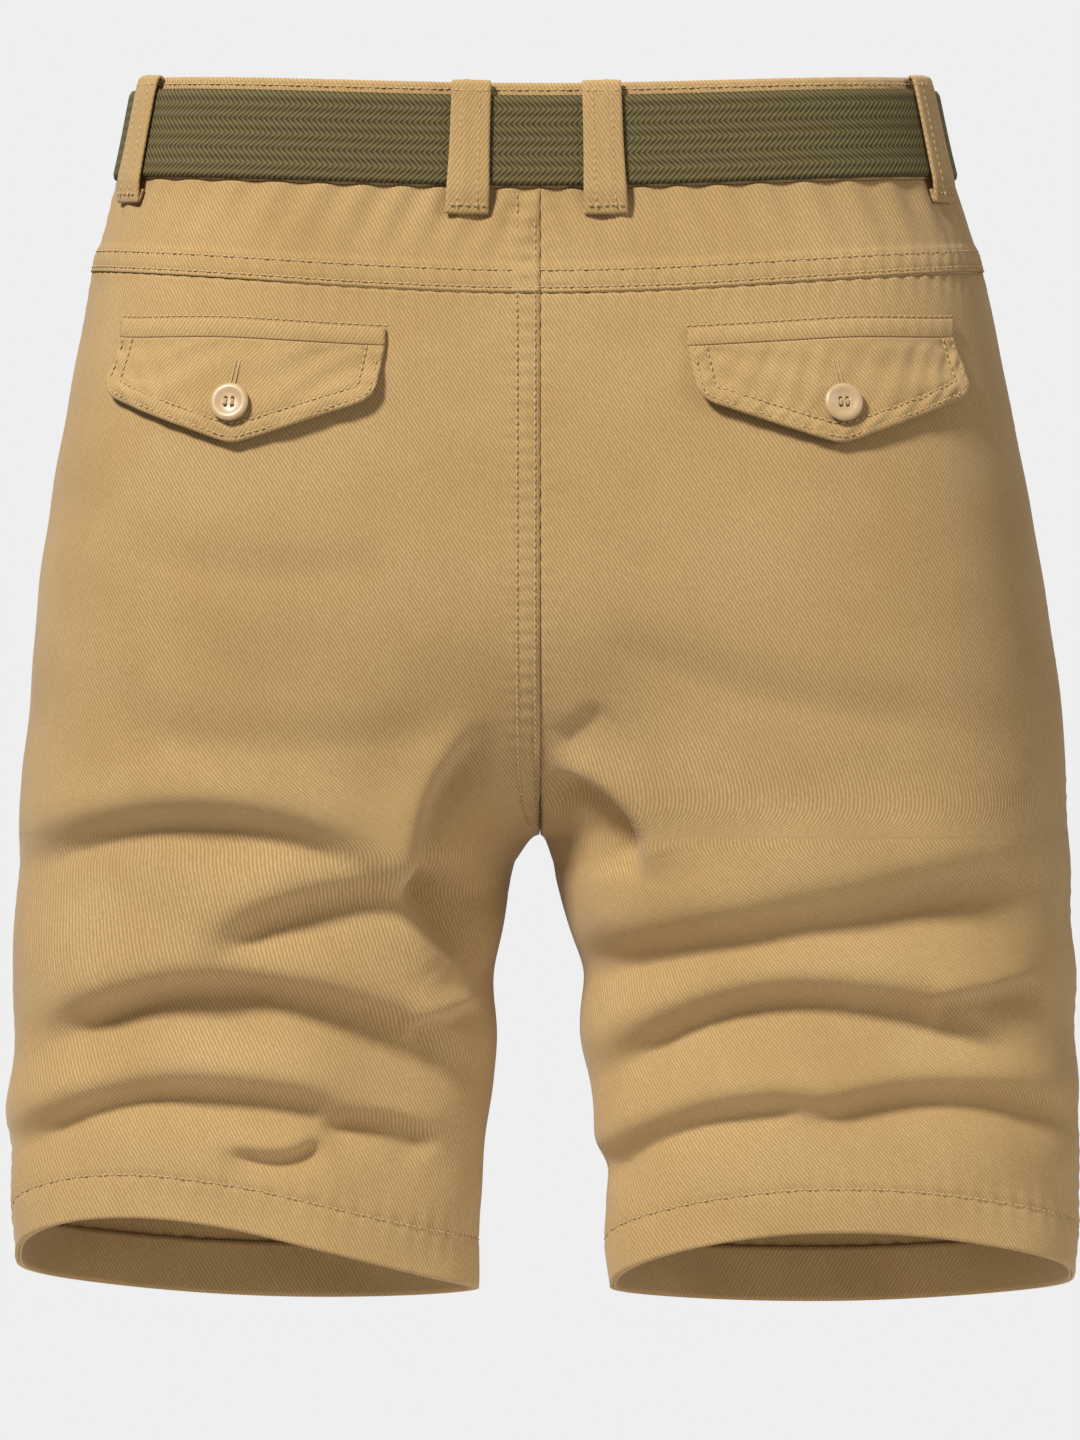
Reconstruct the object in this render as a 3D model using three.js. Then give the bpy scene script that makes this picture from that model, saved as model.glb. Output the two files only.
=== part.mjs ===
// Chino shorts in cotton twill with a webbing belt, filled out as on a wearer, with nobody in them.
// Frame: +Z up, +X towards the wearer's right, +Y towards the wearer's front, in millimetres.
// The origin is the middle of the waist, level with the belt's centre line at the side seams.
//
// One surface carries every piece. It is a stack of sections, each a half ring on either side of the
// centre seam, and a point on it is given as a tailor would: a side, a face (back or front), a share of
// the way from the centre seam or inseam to the side seam, and a height. Panels are walls on it; loops,
// welts, flaps, belt and buckle are made from its points, moved out.
import * as THREE from "three";

// ---- Driving sizes ----
const CLOTH = 1.4; // wall of a panel
const SEAM_GAP = 0.3; // between pieces that are sewn together
const HALF_GAP = SEAM_GAP / 2;
const WAIST_TOP = 24.5; // top edge of the waistband, at the side seams
const WAIST_SEAM = -20; // waistband to yoke, and to the fronts
const YOKE_SEAM = -60; // yoke to back panel
const CROTCH = -308;
const HEM = -502;
const HEM_DEPTH = 21; // turned-up hem
const WAISTBAND_WALL = 2.4; // two layers and the interfacing
const BELT_HEIGHT = 38;
const BELT_WALL = 2.5;
const BELT_STAND_OFF = 0.6;
const POCKET_STAND_OFF = 0.6; // welt and flap, off the seat's curve
const LOOP_WIDTH = 18;
const LOOP_WALL = 1.7;
const LOOP_FOOT = -31.5; // bottom end of a loop
const BUTTON_RADIUS = 8.5;
const BUTTON_WALL = 2.6;

// ---- The form ----
// Sections: half width at the side seam (left and right), inner edge of each leg, distance out to the
// flattest point (apex), depth behind and in front of the middle, and how far the row sags at the centre.
const SECTIONS = [
  { z: 24.5, outLeft: 177, outRight: 172, inLeft: 9, inRight: 5, apex: 58, back: 97, front: 90, sagBack: 5, sagFront: 8 },
  { z: -20, outLeft: 186, outRight: 182, inLeft: 9, inRight: 5, apex: 66, back: 101, front: 94, sagBack: 6.5, sagFront: 8 },
  { z: -60, outLeft: 197, outRight: 195, inLeft: 9, inRight: 5, apex: 78, back: 108, front: 97, sagBack: 12, sagFront: 7 },
  { z: -107, outLeft: 206, outRight: 205, inLeft: 9, inRight: 5, apex: 90, back: 114, front: 98, sagBack: 9, sagFront: 5 },
  { z: -152, outLeft: 214, outRight: 214, inLeft: 9, inRight: 5, apex: 100, back: 117, front: 97, sagBack: 5, sagFront: 3 },
  { z: -202, outLeft: 221, outRight: 223, inLeft: 9, inRight: 5, apex: 106, back: 117, front: 95, sagBack: 2, sagFront: 1 },
  { z: -252, outLeft: 225, outRight: 230, inLeft: 9, inRight: 5, apex: 110, back: 111, front: 92, sagBack: 0, sagFront: 0 },
  { z: -308, outLeft: 229, outRight: 233, inLeft: 9, inRight: 5, apex: 116, back: 100, front: 87, sagBack: 0, sagFront: 0 },
  { z: -337, outLeft: 231, outRight: 235, inLeft: 14, inRight: 10, apex: 121, back: 93, front: 83, sagBack: 0, sagFront: 0 },
  { z: -367, outLeft: 232, outRight: 236, inLeft: 20, inRight: 18, apex: 126, back: 86, front: 80, sagBack: 0, sagFront: 0 },
  { z: -397, outLeft: 232, outRight: 236, inLeft: 19, inRight: 19, apex: 127, back: 80, front: 77, sagBack: 0, sagFront: 0 },
  { z: -442, outLeft: 234, outRight: 238, inLeft: 24.5, inRight: 27, apex: 130, back: 74, front: 74, sagBack: 0, sagFront: 0 },
  { z: -502, outLeft: 232, outRight: 237, inLeft: 28, inRight: 30, apex: 130, back: 68, front: 70, sagBack: 0, sagFront: 0 },
];
const SIDE_SEAM_Y = -6;
const INSEAM_Y = -14;
const SIDE_ROUNDNESS = 2 / 2.6; // exponent of the superellipse at the sides
const LEG_PARTING = 12; // height over which the legs part below the crotch, as a round arch
const SEAT_CURVE = { back: 115, front: 82 }; // height of the crotch curve on each face
const SEAT_POWER = 2.2;
const SEAT_SOFTENS = 80; // height over which the cleft of the legs softens into the seat

// How the hem's edge leaves its level: up behind, down in front, and aslant from side seam to inseam.
const HEM_SHAPE = {
  left: { backRise: 25, backPeak: 0.64, frontDip: 13, atSide: 6.3, atInseam: -5.6 },
  right: { backRise: 24, backPeak: 0.46, frontDip: 12, atSide: -1.2, atInseam: -5.2 },
};
const HEM_SHAPE_FADE = 130; // height over which that shape dies away

// Largest folds. Each is a step along a curve from start through middle to end, in x and z: the cloth
// bulges above the line and is drawn in below it.
const FOLDS = [
  { face: "back", x0: -224, z0: -326, x1: -160, z1: -309, x2: -92, z2: -325, height: 5.5, width: 11, above: 26, below: 26 },
  { face: "back", x0: -116, z0: -350, x1: -82, z1: -340, x2: -34, z2: -338, height: 6.5, width: 13, above: 24, below: 20 },
  { face: "back", x0: -198, z0: -402, x1: -130, z1: -382, x2: -40, z2: -420, height: 7.5, width: 10, above: 24, below: 22 },
  { face: "back", x0: -230, z0: -446, x1: -172, z1: -426, x2: -104, z2: -434, height: 5, width: 9, above: 18, below: 18 },
  { face: "back", x0: 24, z0: -368, x1: 100, z1: -352, x2: 216, z2: -332, height: 7.5, width: 14, above: 30, below: 22 },
  { face: "back", x0: 42, z0: -412, x1: 108, z1: -384, x2: 180, z2: -404, height: 6.5, width: 10, above: 24, below: 22 },
  { face: "back", x0: 126, z0: -434, x1: 172, z1: -422, x2: 230, z2: -428, height: 5, width: 12, above: 20, below: 18 },
  { face: "back", x0: 32, z0: -460, x1: 62, z1: -440, x2: 108, z2: -430, height: 5, width: 9, above: 18, below: 18 },
  { face: "back", x0: -25, z0: -363, x1: -49, z1: -321, x2: -18, z2: -258, height: 5.5, width: 9, above: 20, below: 26 },
  { face: "back", x0: 1, z0: -286, x1: 27, z1: -299, x2: 39, z2: -325, height: 4.5, width: 9, above: 20, below: 18 },
  { face: "front", x0: -214, z0: -330, x1: -150, z1: -318, x2: -60, z2: -338, height: 5, width: 12, above: 26, below: 24 },
  { face: "front", x0: -190, z0: -398, x1: -120, z1: -384, x2: -44, z2: -406, height: 6, width: 11, above: 24, below: 22 },
  { face: "front", x0: 50, z0: -344, x1: 120, z1: -326, x2: 214, z2: -336, height: 5.5, width: 13, above: 28, below: 24 },
  { face: "front", x0: 46, z0: -418, x1: 116, z1: -396, x2: 196, z2: -414, height: 6, width: 11, above: 24, below: 22 },
];
const FOLD_STEPS = 12;
const FOLD_END_FADE = 0.28; // share of a fold's length over which it dies away at each end

// ---- Curves and blends ----
const clamp = (v, low, high) => Math.min(high, Math.max(low, v));
const mix = (a, b, t) => a + (b - a) * t;
function smooth(low, high, v) {
  const t = clamp((v - low) / (high - low), 0, 1);
  return t * t * (3 - 2 * t);
}

// A section's value at height z, by a cubic through the table.
function sectionAt(z) {
  const rows = SECTIONS;
  let i = rows.findIndex((row, k) => k > 0 && z >= row.z);
  if (i < 0) i = rows.length - 1;
  const [a, b] = [rows[i - 1], rows[i]];
  const [before, after] = [rows[Math.max(0, i - 2)], rows[Math.min(rows.length - 1, i + 1)]];
  const span = b.z - a.z;
  const t = clamp((z - a.z) / span, 0, 1);
  const made = {};
  for (const key of Object.keys(a)) {
    const slopeA = ((b[key] - before[key]) / (b.z - before.z)) * span;
    const slopeB = ((after[key] - a[key]) / (after.z - a.z)) * span;
    made[key] =
      (2 * t ** 3 - 3 * t ** 2 + 1) * a[key] +
      (t ** 3 - 2 * t ** 2 + t) * slopeA +
      (3 * t ** 2 - 2 * t ** 3) * b[key] +
      (t ** 3 - t ** 2) * slopeB;
  }
  return made;
}

// Share of the depth that is left at the centre seam: 1 above the crotch curve, 0 at the crotch.
function seatShare(face, z) {
  const t = clamp((z - CROTCH) / SEAT_CURVE[face], 0, 1);
  return (1 - (1 - t) ** SEAT_POWER) ** (1 / SEAT_POWER);
}

// One face of one half ring, from the centre seam or inseam to the side seam, as x and y.
const CURVE_STEPS = 28;
const sectionCache = new Map();
function faceCurve(side, face, z) {
  const key = `${side} ${face} ${z.toFixed(4)}`;
  if (sectionCache.has(key)) return sectionCache.get(key);
  const row = sectionAt(z);
  const out = side === "left" ? row.outLeft : row.outRight;
  const parting = Math.sqrt(clamp((CROTCH - z) / LEG_PARTING, 0, 1));
  const inner = (side === "left" ? row.inLeft : row.inRight) * parting;
  const depth = face === "back" ? -row.back : row.front;
  const share = seatShare(face, z);
  const valley = smooth(0, SEAT_SOFTENS, z - CROTCH);
  const points = [];
  for (let k = 0; k <= CURVE_STEPS; k++) {
    const angle = (Math.PI / 2) * (1 - k / CURVE_STEPS);
    const t = Math.sin(angle);
    const round = Math.sqrt(1 - (1 - share ** 2) * t * t);
    const soft = share + (1 - share) * Math.cos((Math.PI / 2) * t) ** 2;
    points.push([row.apex - (row.apex - inner) * t, INSEAM_Y + (depth - INSEAM_Y) * mix(round, soft, valley)]);
  }
  for (let k = 1; k <= CURVE_STEPS; k++) {
    const angle = (Math.PI / 2) * (k / CURVE_STEPS);
    points.push([
      row.apex + (out - row.apex) * Math.sin(angle) ** SIDE_ROUNDNESS,
      SIDE_SEAM_Y + (depth - SIDE_SEAM_Y) * Math.max(0, Math.cos(angle)) ** SIDE_ROUNDNESS,
    ]);
  }
  const lengths = [0];
  for (let k = 1; k < points.length; k++)
    lengths.push(lengths[k - 1] + Math.hypot(points[k][0] - points[k - 1][0], points[k][1] - points[k - 1][1]));
  const made = { points, lengths, length: lengths[lengths.length - 1] };
  sectionCache.set(key, made);
  return made;
}

// How far the row is lifted at this share of the way to the side seam.
function rowLift(side, face, t, z) {
  const row = sectionAt(z);
  const sag = -(face === "back" ? row.sagBack : row.sagFront) * (1 - smooth(0, 1, t));
  const hem = HEM_SHAPE[side];
  const fade = 1 - smooth(0, HEM_SHAPE_FADE, z - HEM);
  const slant = mix(hem.atInseam, hem.atSide, t);
  const peak = Math.log(0.5) / Math.log(hem.backPeak);
  const bow =
    face === "back" ? hem.backRise * Math.sin(Math.PI * t ** peak) : -hem.frontDip * Math.sin(Math.PI * t);
  return sag + fade * (slant + bow);
}

// The form without folds.
function smoothPoint(side, face, t, z) {
  const curve = faceCurve(side, face, z);
  const along = clamp(t, 0, 1) * curve.length;
  let k = 1;
  while (k < curve.lengths.length - 1 && curve.lengths[k] < along) k++;
  const share = (along - curve.lengths[k - 1]) / (curve.lengths[k] - curve.lengths[k - 1]);
  const x = mix(curve.points[k - 1][0], curve.points[k][0], share);
  const y = mix(curve.points[k - 1][1], curve.points[k][1], share);
  return new THREE.Vector3(side === "left" ? -x : x, y, z + rowLift(side, face, t, z));
}

// Outward normal of the form, from small steps along the row and up it.
const STEP_T = 0.004;
const STEP_Z = 1.5;
function normalAt(side, face, t, z) {
  const t0 = clamp(t - STEP_T, 0, 1);
  const t1 = clamp(t + STEP_T, 0, 1);
  const across = smoothPoint(side, face, t1, z).sub(smoothPoint(side, face, t0, z));
  const up = smoothPoint(side, face, t, z + STEP_Z).sub(smoothPoint(side, face, t, z - STEP_Z));
  const normal = across.cross(up).normalize();
  const outwards = (side === "right") === (face === "back");
  return outwards ? normal : normal.negate();
}

// Distance below or above a fold's line, with the share of its length, for a point in x and z.
function fromFold(fold, x, z) {
  let best = { gap: Infinity, above: 0, share: 0 };
  const curve = (t) => [
    (1 - t) ** 2 * fold.x0 + 2 * t * (1 - t) * (2 * fold.x1 - (fold.x0 + fold.x2) / 2) + t * t * fold.x2,
    (1 - t) ** 2 * fold.z0 + 2 * t * (1 - t) * (2 * fold.z1 - (fold.z0 + fold.z2) / 2) + t * t * fold.z2,
  ];
  let [ax, az] = curve(0);
  for (let k = 1; k <= FOLD_STEPS; k++) {
    const [bx, bz] = curve(k / FOLD_STEPS);
    const [dx, dz] = [bx - ax, bz - az];
    const t = clamp(((x - ax) * dx + (z - az) * dz) / (dx * dx + dz * dz), 0, 1);
    const gap = Math.hypot(x - ax - t * dx, z - az - t * dz);
    const above = (z - az) * dx - (x - ax) * dz > 0 ? 1 : -1;
    if (gap < best.gap) best = { gap, above, share: (k - 1 + t) / FOLD_STEPS };
    [ax, az] = [bx, bz];
  }
  return best;
}

// Folds raise the cloth above their line and draw it in below.
function foldHeight(point, normal) {
  let height = 0;
  for (const fold of FOLDS) {
    const facing = fold.face === "back" ? -normal.y : normal.y;
    const turned = smooth(-0.5, 0.45, facing);
    if (turned === 0 || fold.x0 * point.x < 0) continue;
    const { gap, above, share } = fromFold(fold, point.x, point.z);
    const ends = smooth(0, FOLD_END_FADE, share) * smooth(0, FOLD_END_FADE, 1 - share);
    const reach = above > 0 ? fold.above : fold.below;
    height += turned * ends * fold.height * above * Math.tanh(gap / fold.width) * Math.exp(-((gap / reach) ** 2));
  }
  return height;
}

// A point on the cloth, moved out by offset. The two halves never cross the centre plane.
function clothPoint(side, face, t, z, offset = 0) {
  const base = smoothPoint(side, face, t, z);
  const normal = normalAt(side, face, t, z);
  const made = base.clone().addScaledVector(normal, foldHeight(base, normal) + offset);
  const sign = side === "left" ? -1 : 1;
  if (made.x * sign < HALF_GAP) made.x = HALF_GAP * sign;
  return made;
}

// The same, with the way along the row given in millimetres from the centre seam.
function tailorPoint(side, face, along, z, offset) {
  return clothPoint(side, face, along / faceCurve(side, face, z).length, z, offset);
}

// ---- Making solids ----
// A closed wall between two grids of points; wraps says that the last column meets the first.
function wall(rows, columns, at, wraps = false) {
  const positions = [];
  const faces = [];
  const index = (layer, i, j) => layer * rows * columns + i * columns + (wraps ? j % columns : j);
  for (const layer of ["outer", "inner"])
    for (let i = 0; i < rows; i++)
      for (let j = 0; j < columns; j++) positions.push(...at(i, j, layer).toArray());
  const quad = (a, b, c, d) => faces.push(a, b, c, a, c, d);
  const lastColumn = wraps ? columns : columns - 1;
  for (let i = 0; i < rows - 1; i++)
    for (let j = 0; j < lastColumn; j++) {
      quad(index(0, i, j), index(0, i, j + 1), index(0, i + 1, j + 1), index(0, i + 1, j));
      quad(index(1, i, j), index(1, i + 1, j), index(1, i + 1, j + 1), index(1, i, j + 1));
    }
  for (let j = 0; j < lastColumn; j++) {
    quad(index(0, 0, j), index(1, 0, j), index(1, 0, j + 1), index(0, 0, j + 1));
    quad(index(0, rows - 1, j), index(0, rows - 1, j + 1), index(1, rows - 1, j + 1), index(1, rows - 1, j));
  }
  if (!wraps)
    for (let i = 0; i < rows - 1; i++) {
      quad(index(0, i, 0), index(0, i + 1, 0), index(1, i + 1, 0), index(1, i, 0));
      quad(index(0, i, columns - 1), index(1, i, columns - 1), index(1, i + 1, columns - 1), index(0, i + 1, columns - 1));
    }
  return facingOut(positions, faces);
}

// A profile in height and offset, carried along a list of stations, with both ends closed.
function swept(profile, stations, place) {
  const positions = [];
  const faces = [];
  for (const station of stations)
    for (const [z, offset] of profile) positions.push(...place(station, z, offset).toArray());
  const n = profile.length;
  for (let s = 0; s < stations.length - 1; s++)
    for (let k = 0; k < n; k++) {
      const [a, b] = [s * n + k, s * n + ((k + 1) % n)];
      faces.push(a, b, b + n, a, b + n, a + n);
    }
  const contour = profile.map(([z, offset]) => new THREE.Vector2(z, offset));
  const clockwise = THREE.ShapeUtils.isClockWise(contour);
  for (const [a, b, c] of THREE.ShapeUtils.triangulateShape(clockwise ? contour.slice().reverse() : contour, [])) {
    const [p, q, r] = clockwise ? [n - 1 - a, n - 1 - b, n - 1 - c] : [a, b, c];
    const end = (stations.length - 1) * n;
    const flip = clockwise ? [p, q, r] : [p, r, q];
    faces.push(...flip, end + flip[0], end + flip[2], end + flip[1]);
  }
  return facingOut(positions, faces);
}

// An indexed geometry whose faces point out, whichever way round they were listed.
function facingOut(positions, faces) {
  let volume = 0;
  const corner = (k) => new THREE.Vector3().fromArray(positions, faces[k] * 3);
  for (let k = 0; k < faces.length; k += 3) volume += corner(k).dot(corner(k + 1).cross(corner(k + 2)));
  if (volume < 0) for (let k = 0; k < faces.length; k += 3) [faces[k + 1], faces[k + 2]] = [faces[k + 2], faces[k + 1]];
  const geometry = new THREE.BufferGeometry();
  geometry.setAttribute("position", new THREE.Float32BufferAttribute(positions, 3));
  geometry.setIndex(faces);
  geometry.computeVertexNormals();
  return geometry;
}

const twill = () => new THREE.MeshStandardMaterial({ color: 0xb79867, roughness: 0.9, metalness: 0 });
const webbing = () => new THREE.MeshStandardMaterial({ color: 0x57502f, roughness: 0.95, metalness: 0 });
const horn = () => new THREE.MeshStandardMaterial({ color: 0xb89a70, roughness: 0.35, metalness: 0 });
const metal = () => new THREE.MeshStandardMaterial({ color: 0x8f8b80, roughness: 0.4, metalness: 1 });

const shorts = new THREE.Group();
function add(name, geometry, material) {
  const mesh = new THREE.Mesh(geometry, material);
  mesh.name = name;
  shorts.add(mesh);
  return mesh;
}

// Evenly spread values, ends included.
const spread = (from, to, count) => Array.from({ length: count }, (_, k) => mix(from, to, k / (count - 1)));
const SIDES = ["left", "right"];
const FACES = ["back", "front"];

// Share of the row taken by half a seam gap.
const gapShare = (side, face, z) => HALF_GAP / faceCurve(side, face, z).length;

// A panel wall between two heights and two edges, each edge a share of the row at height z.
function panel(side, face, heights, columns, edges, offsets) {
  return wall(heights.length, columns, (i, j, layer) => {
    const z = heights[i];
    const [from, to] = edges(z);
    const depth = typeof offsets === "function" ? offsets(j / (columns - 1), z) : offsets;
    return clothPoint(side, face, mix(from, to, j / (columns - 1)), z, layer === "outer" ? depth[0] : depth[1]);
  });
}

// ---- Panels ----
const BODY_COLUMNS = 13;
const ABOVE_CROTCH = [248 - HALF_GAP, 214, 182, 150, 120, 92, 66, 42, 22, 8, 2].map((up) => CROTCH + up);
const LEG_ROWS = [...spread(CROTCH - 3, HEM + HEM_DEPTH, 13), HEM + HEM_DEPTH / 2, HEM];
const seamToSeam = (side, face) => (z) => [gapShare(side, face, z), 1 - gapShare(side, face, z)];

// Slanted front pocket: its edge runs from the waistband to the side seam.
const POCKET_SLANT = { inset: 46, foot: -168 };
const FACING_UNDERLAP = 12; // how far the facing runs on behind the front's edge
const FACING_DROP = CLOTH + 1.3; // how deep it lies there
const slantInset = (z) => POCKET_SLANT.inset * clamp((z - POCKET_SLANT.foot) / (WAIST_SEAM - POCKET_SLANT.foot), 0, 1);
function frontEdges(side) {
  return (z) => {
    const length = faceCurve(side, "front", z).length;
    return [HALF_GAP / length, 1 - (HALF_GAP + slantInset(z)) / length];
  };
}
const POCKET_ROWS = [WAIST_SEAM - HALF_GAP, -40, YOKE_SEAM, -94, -126, -156];
const FRONT_TOP_ROWS = [...POCKET_ROWS, POCKET_SLANT.foot, -188, -216, -242, -266, -286, -300, -306];

for (const side of SIDES) {
  const backRows = [...ABOVE_CROTCH, ...LEG_ROWS];
  add(`back_${side}`, panel(side, "back", backRows, BODY_COLUMNS, seamToSeam(side, "back"), [0, -CLOTH]), twill());
  const frontRows = [...FRONT_TOP_ROWS, ...LEG_ROWS];
  add(`front_${side}`, panel(side, "front", frontRows, BODY_COLUMNS, frontEdges(side), [0, -CLOTH]), twill());

  const yokeRows = [WAIST_SEAM - HALF_GAP, -33, -46, YOKE_SEAM + HALF_GAP];
  add(`yoke_${side}`, panel(side, "back", yokeRows, BODY_COLUMNS, seamToSeam(side, "back"), [0, -CLOTH]), twill());

  // The facing lies under the front's edge, and comes up to the side seam.
  const facing = wall(POCKET_ROWS.length, 7, (i, j, layer) => {
    const z = POCKET_ROWS[i];
    const length = faceCurve(side, "front", z).length;
    const inset = slantInset(z);
    const fromEdge = j < 3 ? mix(-FACING_UNDERLAP, 0.6, j / 2) : mix(0.6, inset - HALF_GAP, (j - 2) / 4);
    const depth = FACING_DROP * (1 - smooth(0.6, inset, fromEdge));
    return clothPoint(side, "front", (length - inset + fromEdge) / length, z, -depth - (layer === "outer" ? 0 : CLOTH));
  });
  add(`side_pocket_facing_${side}`, facing, twill());
}

// ---- Rings ----
// Everything round the waist is built on the same stations: in front by millimetres from the centre, so
// that the lap, the buckle and the belt's two layers lie evenly on each other, and behind by shares.
const FRONT_ALONG = [0, 6, 14, 22, 32, 44, 60, 80, 100, 120, 140, 160, 180, 200, 220];
const BACK_SHARES = 12;
const waistFront = (side) => faceCurve(side, "front", 0).length;
const frontStation = (side, along) => ({ side, face: "front", along, t: along / waistFront(side) });
const frontStations = (side, from, to) =>
  FRONT_ALONG.filter((along) => along >= from && along <= Math.min(to, waistFront(side) - 8)).map((along) => frontStation(side, along));
const backStations = [
  ...spread(1, 0, BACK_SHARES).map((t) => ({ side: "left", face: "back", along: Infinity, t })),
  ...spread(0, 1, BACK_SHARES).slice(1).map((t) => ({ side: "right", face: "back", along: Infinity, t })),
];

// On the centre seams a ring runs straight through, so the centre plane is no limit to it.
function ringPoint({ side, face, t }, z, offset) {
  return smoothPoint(side, face, t, z).addScaledVector(normalAt(side, face, t, z), offset);
}

// The waistband starts at the centre front, runs over the left side and the back to the right front, and
// its right end laps behind its left end.
const LAP_LENGTH = 32;
const lapDrop = WAISTBAND_WALL + SEAM_GAP;
const waistbandCourse = [
  ...frontStations("left", 0, Infinity).map((station) => ({ ...station, off: 0 })),
  ...backStations.map((station) => ({ ...station, off: 0 })),
  ...frontStations("right", 1, Infinity).reverse().map((station) => ({ ...station, off: -lapDrop * smooth(44, 14, station.along) })),
  ...frontStations("left", 0, LAP_LENGTH).map((station) => ({ ...station, off: -lapDrop })),
];
const BAND_MIDDLE = 2;
const waistbandRows = [WAIST_TOP, BAND_MIDDLE, WAIST_SEAM + HALF_GAP];
add(
  "waistband",
  wall(waistbandRows.length, waistbandCourse.length, (i, j, layer) => {
    const station = waistbandCourse[j];
    return ringPoint(station, waistbandRows[i], station.off - (layer === "outer" ? 0 : WAISTBAND_WALL));
  }),
  twill(),
);

// Turned-up hem: a ring inside each leg, against the panels.
const HEM_WALL = 1.2;
for (const side of SIDES) {
  const shares = spread(0, 1, BODY_COLUMNS);
  const ring = [
    ...shares.map((t) => ({ face: "back", t })),
    ...shares.slice(1, -1).reverse().map((t) => ({ face: "front", t })),
  ];
  const rows = [HEM + HEM_DEPTH, HEM + HEM_DEPTH / 2, HEM];
  const depth = { outer: -CLOTH - SEAM_GAP, inner: -CLOTH - SEAM_GAP - HEM_WALL };
  add(
    `hem_${side}`,
    wall(rows.length, ring.length, (i, j, layer) => clothPoint(side, ring[j].face, ring[j].t, rows[i], depth[layer]), true),
    twill(),
  );
}

// ---- Belt ----
const BUCKLE_HALF = 22;
const TAIL_LENGTH = 120; // from the centre front to the belt's tip
const BELT_START = 6; // where the fixed end lies, left of the centre front
const UNDER = BELT_STAND_OFF;
const OVER = UNDER + BELT_WALL + SEAM_GAP; // stand-off of the belt's free end, over its fixed end
const CLOSURE_BULGE = 3.8; // how far the waist button pushes the belt out at the centre front
const CLOSURE_REACH = 30;
const bulge = (along) => CLOSURE_BULGE * Math.exp(-((along / CLOSURE_REACH) ** 2));
const lying = (base, station) => ({ ...station, off: base + bulge(station.along) });

// The belt's course: where it lies, and how far it stands off the waistband.
const beltCourse = [
  ...frontStations("left", BELT_START, Infinity).map((station) => lying(UNDER, station)),
  ...backStations.map((station) => lying(UNDER, station)),
  ...frontStations("right", 1, Infinity).reverse().map((station) => lying(mix(UNDER, OVER, smooth(44, 14, station.along)), station)),
  ...frontStations("left", 0, TAIL_LENGTH).map((station) => lying(OVER, station)),
];

const beltRows = [BELT_HEIGHT / 2, BAND_MIDDLE, -BELT_HEIGHT / 2];
add(
  "belt",
  wall(beltRows.length, beltCourse.length, (i, j, layer) => {
    const station = beltCourse[j];
    return ringPoint(station, beltRows[i], station.off + (layer === "outer" ? BELT_WALL : 0));
  }),
  webbing(),
);

// Metal tip on the belt's free end: a folded plate, open towards the belt.
const TIP_LENGTH = 12;
const TIP_WALL = 0.6;
const tipFrom = TAIL_LENGTH + SEAM_GAP;
const tipProfile = [
  [BELT_HEIGHT / 2 + TIP_WALL, OVER - 0.1],
  [BELT_HEIGHT / 2 + TIP_WALL, OVER + BELT_WALL + TIP_WALL],
  [-BELT_HEIGHT / 2 - TIP_WALL, OVER + BELT_WALL + TIP_WALL],
  [-BELT_HEIGHT / 2 - TIP_WALL, OVER - 0.1],
];
const tipStations = spread(tipFrom, tipFrom + TIP_LENGTH, 3).map((along) => frontStation("left", along));
add("belt_tip", swept(tipProfile, tipStations, ringPoint), metal());

// Plate buckle: a plain plate with a flange along its top and bottom, round the belt's two layers.
const PLATE_WALL = 1.2;
const PLATE_CLEARANCE = 0.5;
const plateInside = OVER + BELT_WALL + CLOSURE_BULGE + PLATE_CLEARANCE;
const plateOutside = plateInside + PLATE_WALL;
const plateHalfHeight = BELT_HEIGHT / 2 + PLATE_CLEARANCE;
const buckleProfile = [
  [plateHalfHeight, CLOSURE_BULGE],
  [plateHalfHeight, plateInside],
  [-plateHalfHeight, plateInside],
  [-plateHalfHeight, CLOSURE_BULGE],
  [-plateHalfHeight - PLATE_WALL, CLOSURE_BULGE],
  [-plateHalfHeight - PLATE_WALL, plateOutside],
  [plateHalfHeight + PLATE_WALL, plateOutside],
  [plateHalfHeight + PLATE_WALL, CLOSURE_BULGE],
];
add(
  "belt_buckle",
  swept(buckleProfile, [...frontStations("right", 1, BUCKLE_HALF).reverse(), ...frontStations("left", 0, BUCKLE_HALF)], ringPoint),
  metal(),
);

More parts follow.
